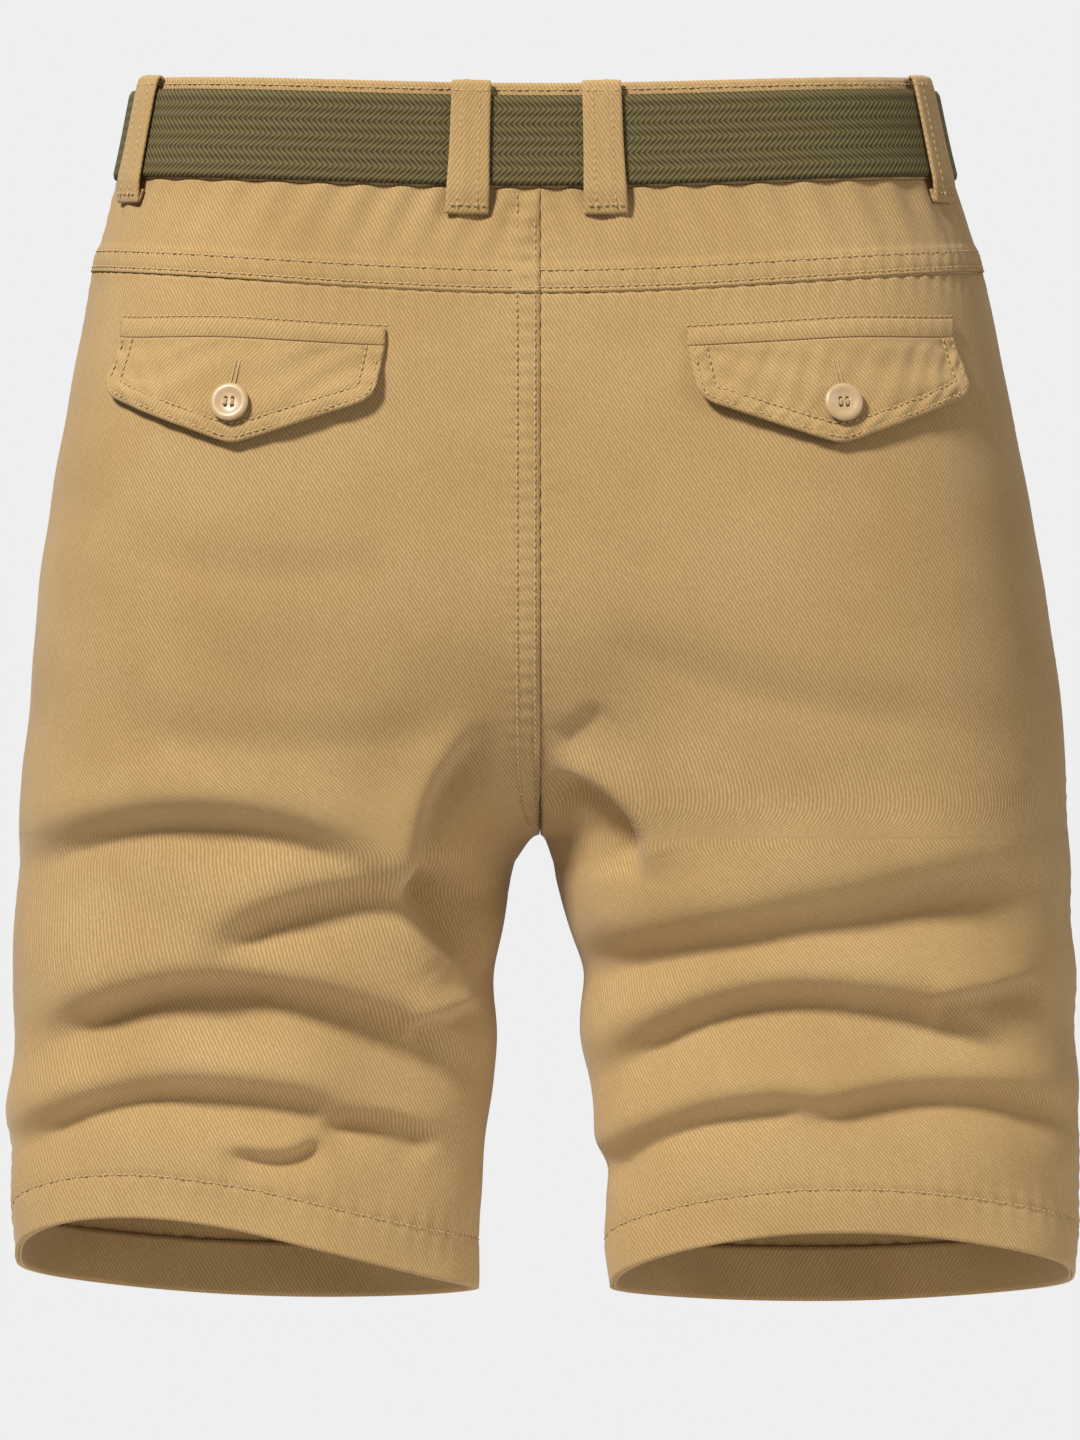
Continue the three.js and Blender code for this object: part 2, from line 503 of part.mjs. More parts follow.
// ---- Belt loops ----
// Middle of each loop, in millimetres from the centre seam along the waist; layers is how many of the
// belt's layers pass under it.
const LOOPS = [
  { name: "belt_loop_back_left", side: "left", face: "back", along: 30.5, layers: 1 },
  { name: "belt_loop_back_right", side: "right", face: "back", along: 27.5, layers: 1 },
  { name: "belt_loop_side_left", side: "left", face: "back", along: 187, layers: 1 },
  { name: "belt_loop_side_right", side: "right", face: "back", along: 184, layers: 1 },
  { name: "belt_loop_front_left", side: "left", face: "front", along: 88, layers: 2 },
  { name: "belt_loop_front_right", side: "right", face: "front", along: 88, layers: 1 },
];
const LOOP_STAND_OFF = 0.3;
for (const loop of LOOPS) {
  const inside = BELT_STAND_OFF + loop.layers * (BELT_WALL + SEAM_GAP) + 0.4;
  const outside = inside + LOOP_WALL;
  const profile = [
    [WAIST_TOP - 0.4, LOOP_STAND_OFF],
    [WAIST_TOP + 1.2, LOOP_STAND_OFF + 1.2],
    [WAIST_TOP - 0.2, outside - 0.5],
    [WAIST_TOP - 3.5, outside],
    [LOOP_FOOT + 5, outside],
    [LOOP_FOOT + 0.4, outside - 1.2],
    [LOOP_FOOT, LOOP_STAND_OFF + 1],
    [LOOP_FOOT + 1, LOOP_STAND_OFF],
    [LOOP_FOOT + 8, LOOP_STAND_OFF],
    [LOOP_FOOT + 9, inside],
    [BELT_HEIGHT / 2 + 0.6, inside],
    [BELT_HEIGHT / 2 + 1.2, LOOP_STAND_OFF],
  ];
  const stations = spread(loop.along - LOOP_WIDTH / 2, loop.along + LOOP_WIDTH / 2, 4).map((along) => ({
    side: loop.side,
    face: loop.face,
    t: along / faceCurve(loop.side, loop.face, 0).length,
  }));
  add(loop.name, swept(profile, stations, ringPoint), twill());
}

// ---- Back pockets ----
const POCKET_WIDTH = 123;
const POCKET_TOP = -78;
const WELT_HEIGHT = 8;
const WELT_WALL = 2;
const FLAP_WALL = 1.8;
const FLAP_SIDE = 25; // height of the flap at its corners
const FLAP_POINT = 49; // height of the flap at its point
const FLAP_FLARE = 5; // how far the flap leans towards the side seam by its corners
const FLAP_LIFT = 3; // how far its lower edge stands off the seat
const POCKET_FROM = { left: 67, right: 64 }; // distance from the centre seam
const POCKET_DROP = 2.5; // how far its outer end drops
const pocketTop = (share) => POCKET_TOP - POCKET_DROP * smooth(0.5, 1, share);
const BUTTON_RISE = 19; // above the flap's point

// The flap's depth at a share of its width: straight sides, then two slopes down to a point.
const flapDepth = (share) => FLAP_SIDE + (FLAP_POINT - FLAP_SIDE) * (1 - Math.abs(2 * share - 1));
const flapLift = (down) => POCKET_STAND_OFF + FLAP_LIFT * smooth(0.1, 1, down);
function flapPoint(side, share, down, offset) {
  const z = pocketTop(share) - WELT_HEIGHT - SEAM_GAP - flapDepth(share) * down;
  const lean = FLAP_FLARE * Math.min(1, (flapDepth(share) * down) / FLAP_SIDE);
  return tailorPoint(side, "back", POCKET_FROM[side] + POCKET_WIDTH * share + lean, z, offset);
}

function buttonGeometry() {
  const disc = new THREE.Shape().absarc(0, 0, BUTTON_RADIUS - 0.6, 0, Math.PI * 2, false);
  for (let k = 0; k < 4; k++) {
    const angle = Math.PI / 4 + (Math.PI / 2) * k;
    const [x, y] = [2.1 * Math.cos(angle), 2.1 * Math.sin(angle)];
    const hole = new THREE.Path().absarc(x, y, 0.95, 0, Math.PI * 2, true);
    disc.holes.push(new THREE.Path(hole.getPoints(3)));
  }
  const settings = { depth: BUTTON_WALL - 1.2, bevelEnabled: true, bevelThickness: 0.6, bevelSize: 0.6, bevelSegments: 1, curveSegments: 10 };
  const made = new THREE.ExtrudeGeometry(disc, settings);
  made.translate(0, 0, 0.6);
  return made;
}

// A button lies with its back on point, facing along normal.
function placeButton(name, point, normal) {
  const button = add(name, buttonGeometry(), horn());
  button.position.copy(point);
  button.quaternion.setFromUnitVectors(new THREE.Vector3(0, 0, 1), normal.clone().normalize());
  return button;
}

for (const side of SIDES) {
  add(
    `back_pocket_welt_${side}`,
    wall(2, 10, (i, j, layer) => {
      const share = j / 9;
      const z = pocketTop(share) - (i === 0 ? 0 : WELT_HEIGHT);
      const offset = POCKET_STAND_OFF + (layer === "outer" ? WELT_WALL : 0);
      return tailorPoint(side, "back", POCKET_FROM[side] + POCKET_WIDTH * share, z, offset);
    }),
    twill(),
  );
  add(
    `back_pocket_flap_${side}`,
    wall(6, 11, (i, j, layer) => {
      const down = i / 5;
      return flapPoint(side, j / 10, down, flapLift(down) + (layer === "outer" ? FLAP_WALL : 0));
    }),
    twill(),
  );
  const down = 1 - BUTTON_RISE / FLAP_POINT;
  const seat = flapPoint(side, 0.5, down, flapLift(down) + FLAP_WALL);
  const across = flapPoint(side, 0.56, down, flapLift(down) + FLAP_WALL).sub(flapPoint(side, 0.44, down, flapLift(down) + FLAP_WALL));
  const up = flapPoint(side, 0.5, down - 0.15, flapLift(down - 0.15)).sub(flapPoint(side, 0.5, down + 0.15, flapLift(down + 0.15)));
  const normal = side === "right" ? across.cross(up) : up.cross(across);
  normal.normalize();
  placeButton(`back_pocket_button_${side}`, seat.addScaledVector(normal, 0.9), normal);
}

// ---- Fly ----
// Shield: the underlap behind the opening. Zip: its tape and teeth, between the shield and the fronts.
const SHIELD = { half: 20, top: WAIST_SEAM - 1, foot: -172, wall: 1.2 };
const ZIP = { half: 12, top: WAIST_SEAM - 3, foot: -160, wall: 1 };
const zipDepth = CLOTH + 0.8;
const shieldDepth = zipDepth + ZIP.wall + SEAM_GAP;
function centreStrip(size, depth) {
  const rows = spread(size.top, size.foot, 7);
  const columns = spread(-size.half, size.half, 5);
  return wall(rows.length, columns.length, (i, j, layer) => {
    const side = columns[j] < 0 ? "left" : "right";
    const t = Math.abs(columns[j]) / faceCurve(side, "front", rows[i]).length;
    return ringPoint({ side, face: "front", t }, rows[i], -depth - (layer === "outer" ? 0 : size.wall));
  });
}
add("fly_zip", centreStrip(ZIP, zipDepth), metal());
add("fly_shield", centreStrip(SHIELD, shieldDepth), twill());

// Waist button, on the waistband's lap behind the buckle.
const WAIST_BUTTON_GAP = 0.3;
const lap = ringPoint({ side: "right", face: "front", t: 0 }, 0, WAIST_BUTTON_GAP);
const lapNormal = normalAt("right", "front", 0, 0);
lapNormal.x = 0;
placeButton("waist_button", lap, lapNormal);

export default shorts;
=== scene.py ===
"""Chino shorts in sand twill with an olive webbing belt, filled out as on a wearer, with nobody in them.

One surface, the Form, carries every piece. A point on it is given as a tailor would: a side, a face (back
or front), a share of the way from the centre seam or inseam to the side seam, and a height. Sizes are in
millimetres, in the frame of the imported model, and meshes are made in metres.
"""

from __future__ import annotations

import logging
import math
from dataclasses import dataclass, field
from enum import Enum
from typing import Callable, Sequence

import bpy
import numpy as np
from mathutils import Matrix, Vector

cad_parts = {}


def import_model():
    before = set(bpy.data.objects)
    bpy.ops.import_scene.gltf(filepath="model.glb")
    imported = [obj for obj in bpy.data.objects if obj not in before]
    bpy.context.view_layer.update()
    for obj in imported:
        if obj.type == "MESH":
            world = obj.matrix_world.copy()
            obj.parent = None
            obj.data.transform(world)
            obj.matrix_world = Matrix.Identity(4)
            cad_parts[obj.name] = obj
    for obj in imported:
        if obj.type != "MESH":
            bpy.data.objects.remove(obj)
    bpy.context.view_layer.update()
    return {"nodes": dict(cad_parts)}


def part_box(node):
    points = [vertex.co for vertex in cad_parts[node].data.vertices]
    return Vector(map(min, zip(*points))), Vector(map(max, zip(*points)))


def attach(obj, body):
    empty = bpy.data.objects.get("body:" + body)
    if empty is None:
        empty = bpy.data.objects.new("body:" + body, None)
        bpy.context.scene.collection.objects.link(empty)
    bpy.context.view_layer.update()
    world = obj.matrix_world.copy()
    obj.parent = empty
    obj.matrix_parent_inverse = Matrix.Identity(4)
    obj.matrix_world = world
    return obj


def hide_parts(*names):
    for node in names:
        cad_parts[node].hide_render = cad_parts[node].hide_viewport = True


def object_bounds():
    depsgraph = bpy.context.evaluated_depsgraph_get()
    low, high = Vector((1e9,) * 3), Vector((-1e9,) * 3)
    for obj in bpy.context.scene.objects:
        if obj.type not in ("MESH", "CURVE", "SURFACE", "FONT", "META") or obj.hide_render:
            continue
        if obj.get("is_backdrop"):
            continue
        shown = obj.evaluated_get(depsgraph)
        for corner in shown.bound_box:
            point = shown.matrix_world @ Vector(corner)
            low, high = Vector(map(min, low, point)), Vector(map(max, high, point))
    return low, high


log = logging.getLogger("chino_shorts")
MM = 0.001
Grid = np.ndarray
Object, Material = bpy.types.Object, bpy.types.Material


class Side(Enum):
    """The wearer's two sides; the value is the sign of x."""

    LEFT = -1
    RIGHT = 1

    @property
    def word(self) -> str:
        """The side's name, as the nodes have it."""
        return self.name.lower()


class Face(Enum):
    """The garment's two faces; the value is the sign of y."""

    BACK = -1
    FRONT = 1

    @property
    def word(self) -> str:
        """The face's name, as the nodes have it."""
        return self.name.lower()


def smooth(low: float, high: float, value: Grid | float) -> Grid:
    """Blend from 0 at low to 1 at high, level at both ends."""
    share = np.clip((np.asarray(value, float) - low) / (high - low), 0, 1)
    return share * share * (3 - 2 * share)


def groove(distance: Grid, depth: float, reach: float) -> Grid:
    """How far a crease or a row of stitches draws the cloth in, by distance from its line."""
    return -depth * np.exp(-((distance / reach) ** 2))


def pucker(along: Grid, from_seam: Grid, pitch: float, reach: float, height: float) -> Grid:
    """Ripples that a shrunk seam draws in the cloth beside it."""
    wander = along / pitch + 0.35 * np.sin(along / 37)
    return height * np.sin(2 * math.pi * wander) * np.exp(-((from_seam / reach) ** 2))


def row_of(count: int, low: float = 0.0, high: float = 1.0) -> Grid:
    """A row of even steps, to be spread over a grid."""
    return np.linspace(low, high, count)[None, :]


def column_of(count: int, low: float = 0.0, high: float = 1.0) -> Grid:
    """A column of even steps, to be spread over a grid."""
    return np.linspace(low, high, count)[:, None]


# ---------------------------------------------------------------------------------------------- the form

# Sections: height, half width left and right, inner edge of each leg, distance out to the flattest point,
# depth behind and in front, and how far the row sags at the centre, behind and in front.
SECTIONS = np.array([
    (24.5, 177, 172, 9, 5, 58, 97, 90, 5, 8),
    (-20, 186, 182, 9, 5, 66, 101, 94, 6.5, 8),
    (-60, 197, 195, 9, 5, 78, 108, 97, 12, 7),
    (-107, 206, 205, 9, 5, 90, 114, 98, 9, 5),
    (-152, 214, 214, 9, 5, 100, 117, 97, 5, 3),
    (-202, 221, 223, 9, 5, 106, 117, 95, 2, 1),
    (-252, 225, 230, 9, 5, 110, 111, 92, 0, 0),
    (-308, 229, 233, 9, 5, 116, 100, 87, 0, 0),
    (-337, 231, 235, 14, 10, 121, 93, 83, 0, 0),
    (-367, 232, 236, 20, 18, 126, 86, 80, 0, 0),
    (-397, 232, 236, 19, 19, 127, 80, 77, 0, 0),
    (-442, 234, 238, 24.5, 27, 130, 74, 74, 0, 0),
    (-502, 232, 237, 28, 30, 130, 68, 70, 0, 0),
])
COLUMN = {name: k for k, name in enumerate(
    "z outLeft outRight inLeft inRight apex back front sagBack sagFront".split())}
WAIST_TOP, WAIST_SEAM, YOKE_SEAM, CROTCH, HEM = 24.5, -20.0, -60.0, -308.0, -502.0
SEAM_GAP = 0.15
# Rows of stitches, in millimetres from the edge that they follow.
CENTRE_ROWS, YOKE_ROWS, SLANT_ROWS, FLAP_ROWS = (2.2, 10.0), (2.2, 9.0), (2.2, 8.0), (2.4, 8.0)
SLANT_FOOT, SLANT_WIDTH, FACING_FOOT, FACING_LAP = -168.0, 46.0, -156.0, 12.0
FLY_WIDTH, FLY_BEND = 36.0, -142.0


@dataclass(frozen=True)
class Fold:
    """A step in the cloth along a curve: raised above the line, drawn in below it.

    start, middle and end are x and z; above and below are how far the swell reaches on each side.
    """

    face: Face
    start: tuple[float, float]
    middle: tuple[float, float]
    end: tuple[float, float]
    height: float
    width: float
    above: float
    below: float


BACK, FRONT = Face.BACK, Face.FRONT
FOLDS: tuple[Fold, ...] = (
    # Left leg behind: four folds pulled up towards the side and the inseam.
    Fold(BACK, (-236, -330), (-150, -306), (-62, -332), 6.5, 8, 32, 26),
    Fold(BACK, (-150, -366), (-84, -341), (-14, -338), 7.5, 9, 30, 20),
    Fold(BACK, (-226, -408), (-130, -380), (-22, -420), 8.5, 8, 30, 22),
    Fold(BACK, (-240, -454), (-164, -424), (-62, -440), 6.5, 7, 22, 18),
    Fold(BACK, (-142, -446), (-112, -451), (-92, -440), 4.0, 4, 10, 10),
    Fold(BACK, (-98, -440), (-70, -436), (-44, -446), 4.5, 5, 12, 12),
    Fold(BACK, (-56, -396), (-44, -391), (-24, -385), 5.0, 4, 12, 12),
    Fold(BACK, (-25, -363), (-49, -321), (-16, -256), 8.0, 6, 18, 26),
    # Right leg behind.
    Fold(BACK, (6, -374), (100, -354), (240, -328), 8.0, 11, 36, 24),
    Fold(BACK, (18, -424), (106, -384), (214, -408), 8.0, 8, 28, 22),
    Fold(BACK, (170, -384), (192, -381), (224, -376), 5.0, 5, 13, 12),
    Fold(BACK, (104, -440), (176, -425), (240, -438), 6.0, 7, 20, 16),
    Fold(BACK, (22, -466), (62, -438), (136, -428), 6.0, 7, 18, 16),
    Fold(BACK, (1, -284), (30, -299), (40, -328), 7.0, 5, 18, 16),
    Fold(BACK, (8, -268), (18, -262), (30, -250), 1.6, 5, 14, 14),
    # Soft drag lines across the seat.
    Fold(BACK, (-190, -262), (-110, -272), (-28, -262), 1.6, 12, 26, 26),
    Fold(BACK, (24, -222), (96, -250), (196, -262), 2.0, 13, 26, 26),
    Fold(BACK, (-196, -180), (-130, -196), (-60, -190), 1.2, 12, 22, 22),
    # Front of the legs, of the same kind.
    Fold(FRONT, (-216, -330), (-150, -316), (-58, -338), 6.5, 8, 26, 22),
    Fold(FRONT, (-192, -398), (-120, -382), (-42, -408), 7.5, 7, 22, 20),
    Fold(FRONT, (-210, -444), (-160, -430), (-90, -440), 5.0, 6, 16, 16),
    Fold(FRONT, (48, -346), (120, -324), (216, -338), 7.0, 9, 26, 22),
    Fold(FRONT, (44, -420), (116, -394), (198, -414), 7.5, 7, 22, 20),
    Fold(FRONT, (110, -452), (160, -436), (216, -446), 5.0, 6, 16, 16),
    # Whiskers that run from the fly's foot towards the hips.
    Fold(FRONT, (-6, -262), (-40, -246), (-104, -238), 3.4, 6, 16, 16),
    Fold(FRONT, (-6, -288), (-44, -282), (-96, -290), 4.0, 6, 16, 16),
    Fold(FRONT, (6, -258), (44, -240), (112, -236), 3.4, 6, 16, 16),
    Fold(FRONT, (6, -290), (46, -280), (100, -286), 4.0, 6, 16, 16),
)


@dataclass(frozen=True)
class HemShape:
    """How a hem leaves its level: a bow behind with its peak at a share of the row, a dip in front, and its
    heights at the side seam and the inseam."""

    rise: float
    peak: float
    dip: float
    outer: float
    inner: float


HEM_SHAPES = {Side.LEFT: HemShape(25, 0.64, 13, 6.3, -5.6), Side.RIGHT: HemShape(24, 0.46, 12, -1.2, -5.2)}
HEM_REACH = 130.0
FOLD_STEPS = 16


@dataclass
class Form:
    """The surface that the shorts take when a waist, hips and thighs fill them.

    It is worked out once on a fine net of shares and heights, and read from there.
    """

    side_seam_y: float = -6.0
    inseam_y: float = -14.0
    side_power: float = 2 / 2.6
    leg_parting: float = 12.0
    seat_power: float = 2.2
    seat_softens: float = 80.0
    seat_reach: float = 115.0
    lap_reach: float = 82.0
    even_rows: int = 14
    even_reach: float = 45.0
    shares: int = 257
    step: float = 1.0
    top: float = 34.0
    foot: float = -524.0
    nets: dict = field(default_factory=dict)

    def __post_init__(self) -> None:
        """Work out all four nets."""
        self.heights = np.arange(self.foot, self.top + self.step, self.step)
        for side in Side:
            for face in Face:
                self.nets[side, face] = self._net(side, face)

    @staticmethod
    def section(z: Grid) -> dict[str, Grid]:
        """Every column of the section table at heights z, by a cubic through its rows."""
        rows = SECTIONS[::-1]
        knots = rows[:, 0]
        slopes = np.gradient(rows, knots, axis=0)
        k = np.clip(np.searchsorted(knots, z) - 1, 0, len(knots) - 2)
        span = (knots[k + 1] - knots[k])[:, None]
        t = np.clip((z[:, None] - knots[k][:, None]) / span, 0, 1)
        made = ((2 * t**3 - 3 * t**2 + 1) * rows[k] + (t**3 - 2 * t**2 + t) * slopes[k] * span
                + (3 * t**2 - 2 * t**3) * rows[k + 1] + (t**3 - t**2) * slopes[k + 1] * span)
        return {name: made[:, column] for name, column in COLUMN.items()}

    def _net(self, side: Side, face: Face) -> dict[str, Grid]:
        """Points, outward normals and row lengths of one quarter of the garment."""
        z = self.heights
        row = self.section(z)
        out = row["out" + side.name.title()][:, None]
        parting = np.sqrt(np.clip((CROTCH - z) / self.leg_parting, 0, 1))
        inner = (row["in" + side.name.title()] * parting)[:, None]
        apex = row["apex"][:, None]
        depth = (row[face.word] * face.value)[:, None]
        # The valley between the two halves: a share of the full depth at the centre, and softer higher up.
        lift = np.clip((z - CROTCH) / (self.seat_reach if face is BACK else self.lap_reach), 0, 1)
        share = ((1 - (1 - lift) ** self.seat_power) ** (1 / self.seat_power))[:, None]
        valley = smooth(0, self.seat_softens, z - CROTCH)[:, None]
        angle = row_of(60, 0, math.pi / 2)
        t = np.sin(angle[:, ::-1])
        curved = np.sqrt(np.maximum(0, 1 - (1 - share**2) * t * t))
        soft = share + (1 - share) * np.cos(math.pi / 2 * t) ** 2
        x_in = apex - (apex - inner) * t
        y_in = self.inseam_y + (depth - self.inseam_y) * (curved * (1 - valley) + soft * valley)
        x_out = apex + (out - apex) * np.sin(angle) ** self.side_power
        rounded = np.maximum(0, np.cos(angle)) ** self.side_power
        y_out = self.side_seam_y + (depth - self.side_seam_y) * rounded
        x, y = np.hstack([x_in, x_out[:, 1:]]), np.hstack([y_in, y_out[:, 1:]])
        along = np.hstack([np.zeros((len(z), 1)), np.cumsum(np.hypot(np.diff(x), np.diff(y)), axis=1)])
        shares = np.linspace(0, 1, self.shares)
        points = np.empty((len(z), self.shares, 3))
        for k, run in enumerate(along):
            points[k, :, 0] = np.interp(shares * run[-1], run, x[k]) * side.value
            points[k, :, 1] = np.interp(shares * run[-1], run, y[k])
        points[:, :, 2] = z[:, None] + self._lift(side, face, shares[None, :], row, z[:, None])
        # The legs part softly: the net is evened along its height, but for the seam's own line.
        n = self.even_rows
        kernel = np.exp(-((np.arange(-n, n + 1) / (n / 2)) ** 2))
        kernel /= kernel.sum()
        padded = np.pad(points, ((n, n), (0, 0), (0, 0)), mode="edge")
        even = sum(weight * padded[k : k + len(z)] for k, weight in enumerate(kernel))
        near = -groove(z - CROTCH, 1, self.even_reach)[:, None] * smooth(0.01, 0.12, shares)[None, :]
        points[..., :2] += (even - points)[..., :2] * near[..., None]
        normal = np.cross(np.gradient(points, axis=0), np.gradient(points, axis=1)) * side.value * face.value
        normal /= np.maximum(1e-9, np.linalg.norm(normal, axis=2, keepdims=True))
        return {"points": points, "normals": normal, "lengths": along[:, -1]}

    @staticmethod
    def _lift(side: Side, face: Face, t: Grid, row: dict[str, Grid], z: Grid) -> Grid:
        """How far a row leaves its level: it sags at the centre, and the hem has its own shape."""
        sag = -row["sagBack" if face is BACK else "sagFront"][:, None] * (1 - smooth(0, 1, t))
        hem = HEM_SHAPES[side]
        power = math.log(0.5) / math.log(hem.peak)
        bow = hem.rise * np.sin(math.pi * t**power) if face is BACK else -hem.dip * np.sin(math.pi * t)
        return sag + (1 - smooth(0, HEM_REACH, z - HEM)) * (hem.inner + (hem.outer - hem.inner) * t + bow)

    def _read(self, net: Grid, t: Grid, z: Grid) -> Grid:
        """Read a net between its knots."""
        a = np.clip((z - self.foot) / self.step, 0, len(self.heights) - 1.001)
        b = np.clip(t, 0, 1) * (self.shares - 1.001)
        i, j = a.astype(int), b.astype(int)
        u, v = (a - i)[..., None], (b - j)[..., None]
        return ((net[i, j] * (1 - u) + net[i + 1, j] * u) * (1 - v)
                + (net[i, j + 1] * (1 - u) + net[i + 1, j + 1] * u) * v)

    def length(self, side: Side, face: Face, z: Grid | float) -> Grid:
        """Length of a row from the centre seam or inseam to the side seam."""
        return np.interp(z, self.heights, self.nets[side, face]["lengths"])

    def smooth_at(self, side: Side, face: Face, t: Grid, z: Grid) -> tuple[Grid, Grid]:
        """Points and outward normals of the form without folds."""
        net = self.nets[side, face]
        t, z = np.broadcast_arrays(np.asarray(t, float), np.asarray(z, float))
        normal = self._read(net["normals"], t, z)
        return self._read(net["points"], t, z), normal / np.linalg.norm(normal, axis=-1, keepdims=True)

    def cloth_at(self, side: Side, face: Face, t: Grid, z: Grid, offset: Grid | float = 0.0) -> Grid:
        """Points of the folded cloth, moved out by offset, kept on their own side of the centre plane."""
        base, normal = self.smooth_at(side, face, t, z)
        height = fold_height(base, normal) + crumple(base, normal) + offset
        made = base + normal * np.asarray(height)[..., None]
        made[..., 0] = np.maximum(made[..., 0] * side.value, 0.0) * side.value
        return made

    def tailor(self, side: Side, face: Face, along: Grid, z: Grid, offset: Grid | float) -> Grid:
        """Points of the folded cloth, with the way along the row in millimetres from the centre seam."""
        along, z = np.broadcast_arrays(np.asarray(along, float), np.asarray(z, float))
        return self.cloth_at(side, face, along / self.length(side, face, z), z, offset)


def fold_height(points: Grid, normals: Grid) -> Grid:
    """How far the folds raise or draw in the cloth at each point."""
    height = np.zeros(points.shape[:-1])
    x, z = points[..., 0], points[..., 2]
    for fold in FOLDS:
        turned = smooth(-0.5, 0.45, normals[..., 1] * fold.face.value)
        turned = np.where(x * fold.start[0] < 0, 0, turned)
        start, middle, end = (np.array(p, float) for p in (fold.start, fold.middle, fold.end))
        control = 2 * middle - (start + end) / 2
        u = column_of(FOLD_STEPS + 1)
        line = (1 - u) ** 2 * start + 2 * u * (1 - u) * control + u**2 * end
        gap = np.full(x.shape, np.inf)
        signed, share = np.zeros(x.shape), np.zeros(x.shape)
        for k, ((ax, az), (bx, bz)) in enumerate(zip(line[:-1], line[1:])):
            dx, dz = bx - ax, bz - az
            t = np.clip(((x - ax) * dx + (z - az) * dz) / (dx * dx + dz * dz), 0, 1)
            here = np.hypot(x - ax - t * dx, z - az - t * dz)
            nearer = here < gap
            gap = np.where(nearer, here, gap)
            signed = np.where(nearer, np.sign((z - az) * dx - (x - ax) * dz), signed)
            share = np.where(nearer, (k + t) / FOLD_STEPS, share)
        ends = smooth(0, 0.22, share) * smooth(0, 0.22, 1 - share)
        # The swell hangs over and turns under quickly; below the crease the cloth comes out again slowly.
        over = (1 - 1.9 * np.exp(-((gap / (1.5 * fold.width)) ** 2))) * np.exp(-((gap / fold.above) ** 2))
        under = -0.9 * np.exp(-((gap / (0.75 * fold.below)) ** 1.25))
        height += turned * ends * 1.35 * fold.height * np.where(signed > 0, over, under)
    return height


def crumple(points: Grid, normals: Grid) -> Grid:
    """Low, soft unevenness of washed twill: a few long waves that never repeat in step."""
    x, y, z = points[..., 0], points[..., 1], points[..., 2]
    legs = 0.35 + 0.65 * smooth(-230, -330, z)
    waves = (np.sin(x / 17 + 1.3 * np.sin(z / 31) + y / 23) * np.sin(z / 13 + x / 41)
             + 0.7 * np.sin((x + 0.6 * z) / 9.5 + 2.1) * np.sin((z - 0.4 * x) / 15 + y / 19)
             + 0.5 * np.sin(z / 6.5 + x / 29 + 0.8 * np.sin(x / 13)))
    return 0.6 * legs * smooth(-14, -40, z) * waves


# ------------------------------------------------------------------------------------------ making meshes


def link_object(name: str, data: bpy.types.ID) -> Object:
    """An object in the scene from a mesh, which it shades smooth, a lamp or a camera."""
    if isinstance(data, bpy.types.Mesh):
        data.polygons.foreach_set("use_smooth", [True] * len(data.polygons))
    made = bpy.data.objects.new(name, data)
    bpy.context.scene.collection.objects.link(made)
    return made


def mesh_object(name: str, points: Grid, faces: Sequence[Sequence[int]], uv: Grid | None = None) -> Object:
    """A smooth-shaded object from points in millimetres.

    Args:
        name: the object's name.
        points: one row for each corner.
        faces: corner numbers of each face.
        uv: the cloth's own coordinates at each corner, in millimetres.
    Returns:
        The linked object.
    """
    mesh = bpy.data.meshes.new(name)
    mesh.from_pydata((np.asarray(points) * MM).tolist(), [], [tuple(f) for f in faces])
    if uv is not None:
        layer = mesh.uv_layers.new(name="cloth")
        corners = np.empty(len(mesh.loops), int)
        mesh.loops.foreach_get("vertex_index", corners)
        layer.data.foreach_set("uv", (np.asarray(uv)[corners] * MM).ravel())
    return link_object(name, mesh)


def wall(name: str, outer: Grid, inner: Grid, uv: Grid, wraps: bool = False) -> Object:
    """A closed wall between two grids of points.

    Args:
        name: the object's name.
        outer: rows by columns by 3, the face side.
        inner: the same, the wrong side.
        uv: rows by columns by 2, in millimetres along the cloth.
        wraps: whether the last column meets the first.
    Returns:
        The linked object, with its faces pointing out.
    """
    rows, columns = outer.shape[:2]
    number = np.arange(rows * columns).reshape(rows, columns)
    if wraps:
        number = np.hstack([number, number[:, :1]])
    back = number + rows * columns
    faces: list[tuple[int, int, int, int]] = []

    def quads(a: Grid, b: Grid, c: Grid, d: Grid) -> None:
        """List one face for each entry of four arrays of corners."""
        faces.extend(zip(*(corners.ravel().tolist() for corners in (a, b, c, d))))

    quads(number[:-1, :-1], number[:-1, 1:], number[1:, 1:], number[1:, :-1])
    quads(back[:-1, :-1], back[1:, :-1], back[1:, 1:], back[:-1, 1:])
    quads(number[0, :-1], back[0, :-1], back[0, 1:], number[0, 1:])
    quads(number[-1, :-1], number[-1, 1:], back[-1, 1:], back[-1, :-1])
    if not wraps:
        quads(number[:-1, 0], number[1:, 0], back[1:, 0], back[:-1, 0])
        quads(number[:-1, -1], back[:-1, -1], back[1:, -1], number[1:, -1])
    points = np.vstack([outer.reshape(-1, 3), inner.reshape(-1, 3)])
    corner = points[np.array(faces)]
    volume = sum(np.einsum("ij,ij->", corner[:, 0], np.cross(corner[:, k], corner[:, k + 1])) for k in (1, 2))
    if volume < 0:
        faces = [face[::-1] for face in faces]
    return mesh_object(name, points, faces, np.vstack([uv.reshape(-1, 2)] * 2))


def bands(rings: int, around: int, start: int = 0) -> list[tuple[int, ...]]:
    """Faces between rings of corners that each close on themselves."""
    lows = [start + ring * around for ring in range(rings - 1)]
    pairs = [(low + k, low + (k + 1) % around) for low in lows for k in range(around)]
    return [(a, b, b + around, a + around) for a, b in pairs]


# ----------------------------------------------------------------------------------------------- finishes


